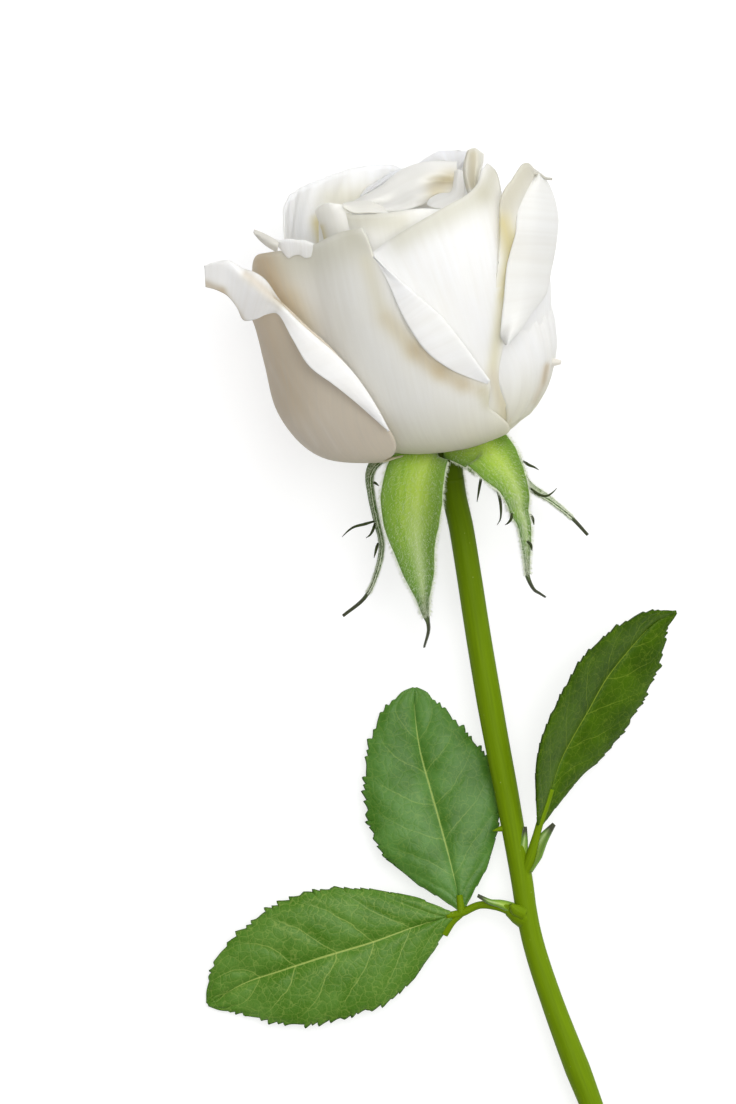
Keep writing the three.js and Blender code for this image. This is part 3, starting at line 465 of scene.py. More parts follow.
# Painted shade under the calyx: darkest at the stem's top and none along its middle; it darkens a little again
# towards the cut end
STEM_PAINTED_SHADE = [0.7, 0.4, 0.15, 0.05, 0, 0, 0, 0, 0, 0, 0, 0, 0.1, 0.2, 0.2]
PRICKLES = {
    "prickle_upper": dict(path=[[15.9, -110.6, 9.9], [13.6, -111.2, 10.4]], radii=[0.8, 0.12]),
    "prickle_lower": dict(path=[[43.4, -191.5, 6.9], [41.8, -191.2, 9.4]], radii=[1.1, 0.15]),
}
PRICKLE_GRID = (20, 8)

# Leaf stalks, buds and stubs: middle line and radius along it
TWIGS = {
    "petiole_left": dict(
        node="leaf_left",
        path=[[22.2, -129.8, 8.6], [18.6, -129.2, 9.2], [15.3, -128.2, 9.2], [10.8, -127.8, 8.6],
              [6.6, -129.6, 7.8], [3.4, -130.3, 7.4]],
        radii=[1.5, 1.35, 0.95, 0.85, 0.9, 0.8],
    ),
    "petiolule_left": dict(
        node="leaf_left",
        path=[[6.6, -129.6, 7.8], [6.5, -128, 7.8], [6.2, -125.6, 7.7]],
        radii=[0.95, 0.85, 0.75],
    ),
    "leaf_base_left": dict(
        node="leaf_left",
        path=[[20.6, -130.6, 8.4], [19.2, -129.9, 9.2], [17, -128.9, 9.4]],
        radii=[2.5, 2.1, 1.2],
    ),
    "stub_left": dict(
        node="leaf_left",
        path=[[7.4, -129, 7.8], [4.6, -131.7, 7.1], [2.8, -134.4, 6.4]],
        radii=[0.85, 0.8, 0.95],
    ),
    "bud_left": dict(
        node="leaf_left",
        path=[[20.2, -129.6, 10.4], [18.6, -128.6, 11.4], [17.6, -127.6, 12.2]],
        radii=[1.5, 1.4, 0.5],
    ),
    "petiole_right": dict(
        node="leaf_right",
        path=[[20.2, -121.8, 9], [22, -116.9, 10.8], [24.1, -109.3, 12.2], [25.7, -104.7, 12.4],
              [26.6, -101.8, 12.4]],
        radii=[1.5, 1.2, 0.85, 0.8, 0.7],
    ),
}
TWIG_GRID = (20, 40)
STIPULES = {
    "stipule_left": dict(
        node="leaf_left",
        slot="leaf",
        path=[[19.4, -129, 9.4], [15.6, -127.5, 10], [13, -126.9, 10.6], [10.3, -125.5, 11.2]],
        half=[1.5, 1.1, 0.6, 0.35],
        face=[0.1, 0.5, 1],
    ),
    "stipule_right": dict(
        node="leaf_right",
        slot="leaf_dark",
        path=[[21, -119.6, 9.8], [22.8, -116.6, 9.8], [24.8, -113, 10.2], [27.2, -109.6, 11]],
        half=[1.9, 2.1, 1.3, 0.45],
        face=[-0.6, 0.3, 1],
    ),
    "stipule_right_inner": dict(
        node="leaf_right",
        slot="leaf_dark",
        path=[[20.8, -119.8, 9.8], [20.4, -116.2, 10.8], [20.7, -112.8, 11.2], [20.9, -110.2, 11.4]],
        half=[1.2, 1.2, 0.8, 0.3],
        face=[0.3, 0.2, 1],
    ),
}
STIPULE_GRID = (10, 30)

# Leaflets: midrib, half widths on its left and right by share of its length, the tilt of each half in
# degrees, and how far the skin rises between its veins
LEAFLETS = {
    "leaflet_upper": dict(
        node="leaf_left",
        slot="leaf",
        midrib=[[6.6, -128.5, 7.7], [4.1, -117.8, 7.4], [1.7, -108.9, 6.4], [-0.3, -101.8, 5.2],
                [-2.6, -93.1, 3.6], [-3.7, -84.4, 1.8], [-3.7, -79.5, 0.9]],
        left=[[0, 1], [0.14, 8.9], [0.3, 15], [0.46, 16.4], [0.62, 15], [0.77, 11.8], [0.9, 7.6],
              [0.97, 3], [1, 0.4]],
        right=[[0, 1], [0.14, 8], [0.3, 13.2], [0.46, 15.6], [0.62, 14.6], [0.77, 11.2], [0.9, 6.6],
               [0.97, 3], [1, 0.4]],
        left_tilt=[-12, 2],
        right_tilt=[-8, 4],
        quilt=0.15,
    ),
    "leaflet_lower": dict(
        node="leaf_left",
        slot="leaf",
        midrib=[[4.4, -130.2, 7.6], [-4, -132.8, 7.2], [-13, -136.1, 6.8], [-23.4, -139.3, 5.9],
                [-33.9, -142.8, 4.3], [-41.8, -145.6, 2.6], [-50.1, -150.4, 0.8]],
        left=[[0, 1], [0.1, 7], [0.21, 11.6], [0.34, 15.2], [0.52, 15.4], [0.66, 14.2], [0.83, 9.4],
              [0.95, 3.6], [1, 0.4]],
        right=[[0, 1], [0.1, 6.4], [0.25, 12], [0.4, 15], [0.52, 15.8], [0.66, 14.8], [0.81, 10.9],
               [0.93, 5.8], [1, 0.4]],
        left_tilt=[-14, 0],
        right_tilt=[-4, 3],
        quilt=0.3,
    ),
    "leaflet_right": dict(
        node="leaf_right",
        slot="leaf_dark",
        midrib=[[23.9, -109.8, 12.3], [25.7, -104.4, 12.4], [28.6, -95.5, 12.2], [31.2, -90.4, 11.8],
                [34.8, -84.2, 11.2], [38.9, -77.1, 10.2], [44.8, -69.8, 8.4], [50, -64.6, 6.8],
                [54.7, -62.4, 5.6]],
        left=[[0, 0.8], [0.08, 5], [0.17, 8.6], [0.31, 12.2], [0.46, 13.4], [0.63, 12.8], [0.78, 9.8],
              [0.89, 5.6], [0.96, 2], [1, 0.3]],
        right=[[0, 0.8], [0.08, 3.4], [0.17, 6.6], [0.31, 11.2], [0.46, 13.2], [0.63, 13.4], [0.78, 10.4],
               [0.89, 5.8], [0.96, 2.1], [1, 0.3]],
        left_tilt=[60, 50],
        right_tilt=[-46, -34],
        quilt=0.1,
    ),
}
LEAF_TEETH = 25
ROWS_PER_TOOTH = 8
LEAF_COLUMNS = 60
TOOTH_DEPTH = 0.07
TOOTH_SWEEP = 0.9
LEAF_ARCH = 0.07
TOOTH_CREST = 0.78
LEAF_SKIN_WIDTH = 15
SIDE_VEINS = 6.5
SIDE_VEIN_EASE = 1.6
SIDE_VEIN_SLANT = 0.22
SIDE_VEIN_CURL = 0.05
MIDRIB_GROOVE = 0.25
MIDRIB_GROOVE_SHARE = 0.9 / 14


# Smooth lines

def smooth(value, low, high):
    """0 up to low and 1 from high on, eased between them."""
    share = np.clip((value - low) / (high - low), 0, 1)
    return share * share * (3 - 2 * share)


def unit(vectors):
    """The vectors at length 1."""
    return vectors / np.maximum(np.linalg.norm(vectors, axis=-1, keepdims=True), 1e-9)


def with_shares(line):
    """A smooth line: each close point's share of the whole length, the points, and the length."""
    steps = np.linalg.norm(np.diff(line, axis=0), axis=1)
    shares = np.concatenate([[0], np.cumsum(steps)])
    return shares / shares[-1], line, shares[-1]


def through(points, steps=40):
    """A smooth line through the points, centripetal, so that it never loops."""
    knots = np.array(points, float)
    knots = np.vstack([2 * knots[0] - knots[1], knots, 2 * knots[-1] - knots[-2]])
    part = np.linspace(0, 1, steps, endpoint=False)[:, None]
    line = []
    for p0, p1, p2, p3 in zip(knots, knots[1:], knots[2:], knots[3:]):
        d0, d1, d2 = (math.sqrt(max(np.linalg.norm(b - a), 1e-6)) for a, b in ((p0, p1), (p1, p2), (p2, p3)))
        out = ((p1 - p0) / d0 - (p2 - p0) / (d0 + d1) + (p2 - p1) / d1) * d1
        into = ((p2 - p1) / d1 - (p3 - p1) / (d1 + d2) + (p3 - p2) / d2) * d1
        bend = (3 * (p2 - p1) - 2 * out - into) * part**2
        twist = (2 * (p1 - p2) + out + into) * part**3
        line.append(p1 + out * part + bend + twist)
    return with_shares(np.vstack([*line, knots[-2]]))


def along(line, share):
    """Points of a smooth line at shares of its length."""
    shares, points, _ = line
    return np.stack([np.interp(share, shares, points[:, k]) for k in range(points.shape[1])], axis=-1)


def heading(line, share):
    """The way that a smooth line runs at shares of its length."""
    return unit(along(line, np.minimum(share + 0.01, 1)) - along(line, np.maximum(share - 0.01, 0)))


def spread(values, share):
    """A value read from a list spread evenly over 0 to 1."""
    return np.interp(share, np.linspace(0, 1, len(values)), values)


def cup_line(handles):
    """The curve from the claw to the rim as a smooth line in [radius, height]."""
    a, b, c, d = np.array([[CLAW_RADIUS, 0], *handles], float)
    part = np.linspace(0, 1, 240)[:, None]
    rest = 1 - part
    return with_shares(rest**3 * a + 3 * rest**2 * part * b + 3 * rest * part**2 * c + part**3 * d)


def petal_line(petal):
    """The curve that a petal's middle follows: through its midline's points, or with its cup's handles."""
    if "midline" in petal:
        return through([[CLAW_RADIUS, 0], *petal["midline"]])
    return cup_line(petal["cup"])


def on_cup(line, distance):
    """Radius, height and heading at distances along a cup's curve, and straight on past its ends."""
    length = line[2]
    inside = np.clip(distance, 0, length)
    way = heading(line, inside / length)
    spot = along(line, inside / length) + way * (distance - inside)[:, None]
    return spot[:, 0], spot[:, 1], way


def bloom_point(angle, radius, height):
    """Places round the bloom's axis, height mm up it from the base."""
    sideways = np.cos(angle)[:, None] * ACROSS + np.sin(angle)[:, None] * FRONT
    return BLOOM_BASE + height[:, None] * AXIS + radius[:, None] * sideways


def pixel_size(height):
    """How many mm a pixel of the frame covers at a height above the table."""
    return MM_PER_PIXEL * (EYE[2] - height) / EYE[2]


def in_view(points):
    """Places given as [across, down, height]: pixels of the frame, and mm above the table."""
    across, down, height = np.array(points, float).T
    size = pixel_size(height)
    x = EYE[0] + (across - FRAME_MIDDLE[0]) * size
    y = EYE[1] - (down - FRAME_MIDDLE[1]) * size
    return np.column_stack([x, y, height])


def seen_at(points):
    """The pixels [across, down] of the frame at which the camera sees places."""
    size = pixel_size(points[:, 2])
    across = FRAME_MIDDLE[0] + (points[:, 0] - EYE[0]) / size
    down = FRAME_MIDDLE[1] - (points[:, 1] - EYE[1]) / size
    return np.column_stack([across, down])


# Petal shapes

def flat_petal(petal, u, v):
    """Places [across, up] on the pressed petal for shares across and up it."""
    left, right, top = (through(petal[edge]) for edge in ("left", "right", "top"))
    low_left, low_right = np.array([-CLAW_HALF_WIDTH, 0]), np.array([CLAW_HALF_WIDTH, 0])
    high_left, high_right = left[1][-1], right[1][-1]
    across, up = u[:, None], v[:, None]
    sides = along(left, v) * (1 - across) + along(right, v) * across
    claw = (low_left * (1 - across) + low_right * across) * (1 - up)
    ends = claw + along(top, u) * up
    corners = claw + (high_left * (1 - across) + high_right * across) * up
    return sides + ends - corners


def roll_over(place, fold):
    """Rolls the sheet outwards beyond a straight fold line. place is [across, up, out]."""
    turn = math.radians(fold["facing"])
    out = np.array([math.cos(turn), math.sin(turn)])
    limit = math.radians(fold["angle"])
    beyond = np.maximum((place[:, :2] - fold["at"]) @ out, 0)
    bent = np.minimum(beyond / fold["radius"], limit)
    rest = np.maximum(beyond - fold["radius"] * limit, 0)
    level = fold["radius"] * np.sin(bent) + rest * np.cos(bent) - place[:, 2] * np.sin(bent)
    lift = fold["radius"] * (1 - np.cos(bent)) + rest * np.sin(bent) + place[:, 2] * np.cos(bent)
    moved = place[:, :2] + (level - beyond)[:, None] * out
    return np.column_stack([moved, lift])


def fan(v):
    """How wide the veins have fanned out at shares of a petal's height, from its claw to 1 at its rim."""
    return 0.35 + 0.65 * v


def near_rim(u, v):
    """0 in a petal's middle to 1 along its top and the upper part of its sides."""
    return np.maximum(smooth(v, 0.8, 1), smooth(np.abs(2 * u - 1), 0.75, 1) * smooth(v, 0.4, 0.7))


def ripples(petal, flat, v, rim):
    """How far out a petal's waves and pleats lift it."""
    lift = np.zeros(len(flat))
    for height, length, phase in petal.get("waves", ()):
        lift += height * rim * np.sin(2 * np.pi * (flat[:, 0] + 0.7 * flat[:, 1]) / length + phase)
    for height, spacing in petal.get("pleats", ()):
        lift += height * np.sin(2 * np.pi * flat[:, 0] / fan(v) / spacing) * smooth(v, 0.1, 0.35)
    return lift


def opening(petal, place):
    """How far from the axis a petal's hug and its flare move it."""
    moved = -petal.get("hug", 0) * smooth(place[:, 0], 4, 32) * smooth(place[:, 1], 5, 25)
    flare = petal.get("flare")
    if flare:
        beyond = smooth(-place[:, 0], -flare["start"], -flare["end"])
        moved += flare["reach"] * beyond * smooth(place[:, 1], 20, 60)
    return moved


def petal_points(petal, u, v):
    """A petal's points, their places on the pressed petal and how near its rim they are."""
    flat = flat_petal(petal, u, v)
    rim = near_rim(u, v)
    place = np.column_stack([flat, ripples(petal, flat, v, rim)])
    for fold in petal.get("folds", ()):
        place = roll_over(place, fold)
    radius, height, way = on_cup(petal_line(petal), place[:, 1])
    points = bloom_point(
        math.radians(petal["turn"]) - place[:, 0] / np.maximum(radius, CLAW_RADIUS),
        np.maximum(radius + place[:, 2] * way[:, 1] + opening(petal, place), 0.4),
        height - place[:, 2] * way[:, 0],
    )
    points[:, 2] = np.maximum(points[:, 2], petal["floor"])
    return points, flat, rim


def tints_and_shades(look, points):
    """How brown, cream and grey the skin is at each point: its own tint with painted shade, shadow and glow.
    """
    seen = seen_at(points)
    left_out = np.ones((len(points), 3)) - look.get("tint_and_shade", [0, 0, 0])
    for x0, y0, x1, y1, radius, *shares in look.get("stains_and_shadows", ()):
        start, run = np.array([x0, y0]), np.array([x1 - x0, y1 - y0])
        part = np.clip((seen - start) @ run / (run @ run), 0, 1)
        gap = np.linalg.norm(seen - start - part[:, None] * run, axis=1)
        left_out *= 1 - np.exp(-((gap / radius) ** 2))[:, None] * shares
    return 1 - left_out


def heart_petals():
    """The inner petals: smaller and smaller cups, each turned on from the last one."""
    made = {}
    for place, (belly, height) in enumerate(zip(HEART_RADII, HEART_HEIGHTS)):
        half = belly * HEART_WIDTH_SHARE
        full = belly * HEART_FULL_SHARE
        reach = height + belly * HEART_RIM_SHARE
        made[f"heart_{place}"] = dict(
            turn=HEART_FIRST_TURN + HEART_TURN_STEP * place,
            cup=[[full, -3], [full, height * 0.5], [belly * HEART_TOP_SHARE, height]],
            left=[[-CLAW_HALF_WIDTH, 0], *([-half * x, reach * y] for x, y in HEART_SIDE)],
            top=[[half * x, reach * y] for x, y in HEART_RIM],
            right=[[CLAW_HALF_WIDTH, 0], *([half * x, reach * y] for x, y in HEART_SIDE)],
            folds=[dict(at=[0, reach * 0.95], facing=80, radius=2, angle=70)],
            waves=[[0.5, 17, place], [0.25, 7, 2 * place]],
            tint_and_shade=HEART_TINT_AND_GLOW,
            floor=4,
        )
    return made


# Meshes

def name_piece(name):
    """Names the new object and its mesh."""
    piece = bpy.context.object
    piece.name = name
    piece.data.name = name
    return piece


def read_points(piece):
    flat = np.zeros(len(piece.data.vertices) * 3)
    piece.data.vertices.foreach_get("co", flat)
    return flat.reshape(-1, 3)


def lay_grid(name, columns, rows):
    """A grid primitive, and the share across and up of each of its points."""
    bpy.ops.object.select_all(action="DESELECT")
    bpy.ops.mesh.primitive_grid_add(x_subdivisions=columns, y_subdivisions=rows, size=2)
    piece = name_piece(name)
    flat = read_points(piece)
    return piece, (flat[:, 0] + 1) / 2, (flat[:, 1] + 1) / 2


def write_points(piece, points):
    """Moves a mesh's points to places in mm."""
    piece.data.vertices.foreach_set("co", (np.asarray(points) * MM).ravel())
    piece.data.update()


def mark(piece, name, values):
    """Keeps a number or a triple for each point, which the materials read."""
    values = np.asarray(values, float)
    kind, field = ("FLOAT", "value") if values.ndim == 1 else ("FLOAT_VECTOR", "vector")
    made = piece.data.attributes.new(name, kind, "POINT")
    made.data.foreach_set(field, values.astype(np.float32).ravel())


def mark_skin(piece, skin, across, up, rim):
    """Gives a lofted sheet the places in mm that its bit of a petal's skin has."""
    height = skin["start"] + up * skin["height"]
    mark(piece, "surface", np.column_stack([across * skin["width"], height, rim]))


def thicken(piece, wall):
    """Makes a closed thin body of a sheet. inner is 1 on its inner face and 0 on its outer one."""
    count = len(piece.data.vertices)
    layer = piece.modifiers.new("wall", "SOLIDIFY")
    layer.thickness = wall * MM
    layer.offset = 0
    bpy.ops.object.modifier_apply(modifier=layer.name)
    mark(piece, "inner", (np.arange(len(piece.data.vertices)) >= count) * 1.0)


def loft(rails, name, columns, rows):
    """A sheet through space curves that run side by side. Each rail has as many points as the others."""
    piece, u, v = lay_grid(name, columns, rows)
    curves = []
    for rail in rails:
        line = through(rail)[1]
        stations = np.linspace(0, 1, len(line))
        curves.append(np.stack([np.interp(v, stations, line[:, k]) for k in range(3)], axis=-1))
    curves = np.array([2 * curves[0] - curves[1], *curves, 2 * curves[-1] - curves[-2]])
    place = u * (len(rails) - 1)
    first = np.minimum(place.astype(int), len(rails) - 2)
    part = (place - first)[:, None]
    each = np.arange(len(u))
    p0, p1, p2, p3 = (curves[first + k, each] for k in range(4))
    points = p1 + part * (p2 - p0) / 2
    points += part**2 * (2 * p0 - 5 * p1 + 4 * p2 - p3) / 2 + part**3 * (3 * p1 - p0 - 3 * p2 + p3) / 2
    return piece, points, u, v


def lay_down(points, u, v, shape, below, rows):
    """Brings a flap close to the petals under it, along the line of sight, past its laid shares."""
    gap = spread(shape["clearance"], v)
    heights = np.full(len(points), np.nan)
    for place, point in enumerate(points):
        way = Vector((point - EYE) * MM).normalized()
        hit = below.ray_cast(Vector(EYE) * MM, way)[0]
        if hit and abs(hit.z / MM - point[2]) < FLAP_REACH:
            heights[place] = hit.z / MM + gap[place]
    heights = np.where(np.isnan(heights), points[:, 2], heights).reshape(rows + 1, -1)
    padded = np.vstack([heights[:1]] * FLAP_EASE + [heights] + [heights[-1:]] * FLAP_EASE)
    eased = sum(padded[k:k + rows + 1] for k in range(2 * FLAP_EASE + 1)) / (2 * FLAP_EASE + 1)
    height = points[:, 2] + (eased.ravel() - points[:, 2]) * smooth(u, 0.4, 0.95) * smooth(v, *shape["laid"])
    return EYE + (points - EYE) * ((EYE[2] - height) / (EYE[2] - points[:, 2]))[:, None]


def flap(name, shape, below):
    """A rolled margin lofted from behind its crest to its free edge, and laid down where it says so."""
    behind, crest, edge = (in_view(shape[rail]) for rail in ("behind", "crest", "edge"))
    swell = (crest + edge) / 2 + [0, 0, shape["swell"]]
    piece, points, u, v = loft([behind, crest, swell, edge], name, *FLAP_GRID)
    if "laid" in shape:
        points = lay_down(points, u, v, shape, below, FLAP_GRID[1])
    write_points(piece, points)
    mark_skin(piece, FLAP_SKIN, v, u, smooth(u, 0.7, 1))
    mark(piece, "tint_and_shade", tints_and_shades(shape, points))
    thicken(piece, PETAL_WALL)
    return piece


def sliver(name, rails, look):
    """A small loose piece of petal lofted through its rails."""
    piece, points, u, v = loft([in_view(rail) for rail in rails], name, *SLIVER_GRID)
    write_points(piece, points)
    mark_skin(piece, SLIVER_SKIN, u, v, v * 0)
    mark(piece, "tint_and_shade", tints_and_shades(look, points))
    thicken(piece, PETAL_WALL)
    return piece


def tube(name, path, radii, sides, rings, slant=0, painted_shade=(0,)):
    """A round rod along a path, closed at both ends. slant tips its last ring, and its list of painted shade
    darkens it.
    """
    line = through(path)
    piece, u, v = lay_grid(name, sides, rings)
    way = heading(line, v)
    side = unit(np.cross(way, [0, 0, 1]))
    up = np.cross(side, way)
    angle = 2 * np.pi * u
    radius = spread(radii, v)
    round_it = np.cos(angle)[:, None] * side + np.sin(angle)[:, None] * up
    points = along(line, v) + radius[:, None] * round_it
    points += way * (slant * radius * np.sin(angle) * (v > 0.9999))[:, None]
    write_points(piece, points)
    mark(piece, "surface", np.column_stack([angle, v * line[2], v]))
    mark(piece, "painted_shade", spread([*painted_shade, painted_shade[-1]], v))
    bpy.ops.object.mode_set(mode="EDIT")
    bpy.ops.mesh.select_all(action="SELECT")
    bpy.ops.mesh.remove_doubles(threshold=1e-6)
    bpy.ops.mesh.select_all(action="DESELECT")
    bpy.ops.mesh.select_non_manifold()
    bpy.ops.mesh.edge_face_add()
    bpy.ops.mesh.select_all(action="SELECT")
    bpy.ops.mesh.normals_make_consistent(inside=False)
    bpy.ops.object.mode_set(mode="OBJECT")
    return piece


def on_blade(blade_shape, line, share, place):
    """Places across a channelled blade at shares of its length, and the ways along, across and off it."""
    way = heading(line, share)
    side = unit(np.cross(way, unit(np.array(blade_shape["face"], float))))
    lift = unit(np.cross(side, way))
    half = spread(blade_shape["half"], share)
    channel = SEPAL_CHANNEL * half * (place**2 - 0.4)
    return along(line, share) + (place * half)[:, None] * side + channel[:, None] * lift, way, side, lift


def blade(name, blade_shape, columns, rows, wall):
    """A channelled blade along a midline."""
    line = through(blade_shape["path"])
    piece, u, v = lay_grid(name, columns, rows)
    place = 2 * u - 1
    write_points(piece, on_blade(blade_shape, line, v, place)[0])
    mark(piece, "surface", np.column_stack([place, v * line[2], v]))
    mark(piece, "painted_shade", v * 0 + blade_shape.get("painted_shade", 0))
    thicken(piece, wall)
    return piece


def spikes(name, roots, ways, lengths, radii):
    """Three sided spikes in one mesh, modelled once and repeated, each at its root and along its way."""
    bpy.ops.object.select_all(action="DESELECT")
    bpy.ops.mesh.primitive_cone_add(vertices=3, radius1=1, depth=1)
    piece = name_piece(name)
    copies = piece.modifiers.new("copies", "ARRAY")
    copies.count = len(roots)
    copies.use_relative_offset = False
    bpy.ops.object.modifier_apply(modifier=copies.name)
    shape = read_points(piece).reshape(len(roots), -1, 3)
    across = unit(np.cross(ways, [0.3, 0.5, 0.8]))
    third = np.cross(ways, across)
    reach = (shape[:, :, 2:] + 0.5) * lengths[:, None, None] - HAIR_ROOT_DEPTH
    round_it = shape[:, :, :2] * radii[:, None, None]
    points = roots[:, None] + round_it[:, :, :1] * across[:, None] + round_it[:, :, 1:] * third[:, None]
    points += reach * ways[:, None]
    write_points(piece, points.reshape(-1, 3))
    return piece


def hairs(name, sepal):
    """Down on a sepal: thin spikes on both faces and along both rims."""
    count = FACE_HAIRS + 2 * RIM_HAIRS
    share = DICE.uniform(*HAIRY_SHARES, count)
    place = DICE.uniform(-0.95, 0.95, count)
    place[FACE_HAIRS:FACE_HAIRS + RIM_HAIRS] = -1
    place[FACE_HAIRS + RIM_HAIRS:] = 1
    on_rim = np.abs(place) == 1
    middle, way, side, lift = on_blade(sepal, through(sepal["path"]), share, place)
    face = np.where(on_rim, 0, DICE.choice([-1, 1], count)) * SEPAL_WALL / 2
    outwards = place[:, None] * side
    off_face = 0.5 * np.sign(face)[:, None] * lift + 0.4 * outwards
    out = np.where(on_rim[:, None], outwards, off_face)
    out = unit(out + 0.7 * way + DICE.normal(0, 0.3, (count, 3)))
    length = np.where(on_rim, RIM_HAIR_LENGTH, FACE_HAIR_LENGTH) * DICE.uniform(0.5, 1.2, count)
    radius = np.where(on_rim, RIM_HAIR_RADIUS, FACE_HAIR_RADIUS)
    return spikes(name, middle + face[:, None] * lift, out, length, radius)


def tooth_shape(share):
    """0 in the notch to 1 at the tip of each tooth. Teeth are uneven, and point to the leaf's tip."""
    uneven = share * LEAF_TEETH + 0.28 * np.sin(share * 41) + 0.2 * np.sin(share * 67 + 1)
    phase = uneven % 1
    size = 0.75 + 0.25 * np.sin(uneven.astype(int) * 2.4)
    rise = np.clip(phase / TOOTH_CREST, 0, 1) ** 1.5
    fall = np.clip((1 - phase) / (1 - TOOTH_CREST), 0, 1)
    return np.minimum(rise, fall) * size


def vein_count(share, out):
    """Grows by one from each side vein to the next, for shares along and out from the midrib."""
    return SIDE_VEINS * (share - SIDE_VEIN_SLANT * out**1.1 - SIDE_VEIN_CURL * out**3)


def leaflet(name, leaf):
    """A toothed leaflet, puffed up between its veins."""
    line = through(leaf["midrib"])
    piece, u, v = lay_grid(name, LEAF_COLUMNS, LEAF_TEETH * ROWS_PER_TOOTH)
    way = heading(line, v)
    signed = 2 * u - 1
    out = np.abs(signed)
    hand = np.where(signed < 0, -1.0, 1.0)
    level = unit(np.column_stack([way[:, 1], -way[:, 0], np.zeros(len(v))])) * hand[:, None]
    points = np.zeros((len(v), 3))
    for sign, half in ((-1, "left"), (1, "right")):
        here = hand == sign
        tilt = leaf[half + "_tilt"]
        raised = np.radians(tilt[0] + (tilt[1] - tilt[0]) * v[here])[:, None]
        width = np.interp(v[here], *np.array(leaf[half]).T)
        tooth = tooth_shape(v[here])
        toothed = smooth(out[here], 0.82, 1)
        reach = width * out[here] * (1 - TOOTH_DEPTH * (1 - tooth) * toothed)
        outwards = level[here] * np.cos(raised) + np.array([0, 0, 1]) * np.sin(raised)
        sweep = TOOTH_SWEEP * tooth * toothed * smooth(width, 0, 3)
        points[here] = along(line, v[here]) + outwards * reach[:, None] + way[here] * sweep[:, None]
        points[here, 2] += 4 * LEAF_ARCH * width * out[here] * (1 - out[here])
    count = vein_count(v, out)
    gap = np.abs(count - np.round(count)) * line[2] / SIDE_VEINS
    sunken = np.exp(-((out / MIDRIB_GROOVE_SHARE) ** 2))
    quilt = leaf["quilt"] * (1 - np.exp(-((gap / SIDE_VEIN_EASE) ** 2)))
    quilt *= smooth(out, 0, 0.2) * smooth(1 - out, 0, 0.25)
    lift = np.cross(level * hand[:, None], way)
    lift *= np.sign(lift[:, 2])[:, None]
    points += lift * (quilt - MIDRIB_GROOVE * sunken)[:, None]
    points[:, 2] = np.maximum(points[:, 2], LEAF_WALL / 2)
    write_points(piece, points)
    mark(piece, "surface", np.column_stack([signed * LEAF_SKIN_WIDTH, v * line[2], out]))
    mark(piece, "vein", count)
    thicken(piece, LEAF_WALL)
    return piece


# Materials. A pattern on Object coordinates repeats as many times in a metre as its scale says: 130 gives
# clouds of 8 mm, 420 bends of 2.4 mm, 900 spots of 1.1 mm and 2600 a grain of 0.4 mm. A pattern on a piece's
# surface attribute is stretched lengthwise: 1 / 16 there gives fibres 16 mm long.

def colour(code):
    """An sRGB hex colour as a linear one."""
    parts = [int(code[k:k + 2], 16) / 255 for k in (1, 3, 5)]
    return (*(part / 12.92 if part <= 0.04045 else ((part + 0.055) / 1.055) ** 2.4 for part in parts), 1)


def add(tree, kind, inputs=None, **settings):
    """Adds a node with its settings, and sets or links its inputs."""
    made = tree.nodes.new(kind)
    for key, value in settings.items():
        setattr(made, key, value)
    for key, value in (inputs or {}).items():
        if isinstance(value, bpy.types.NodeSocket):
            tree.links.new(value, made.inputs[key])
        else:
            made.inputs[key].default_value = value
    return made


def new_material(name):
    """A material without nodes, and its node tree."""
    made = bpy.data.materials.new(name)
    made.use_nodes = True
    tree = made.node_tree
    tree.nodes.clear()
    return made, tree


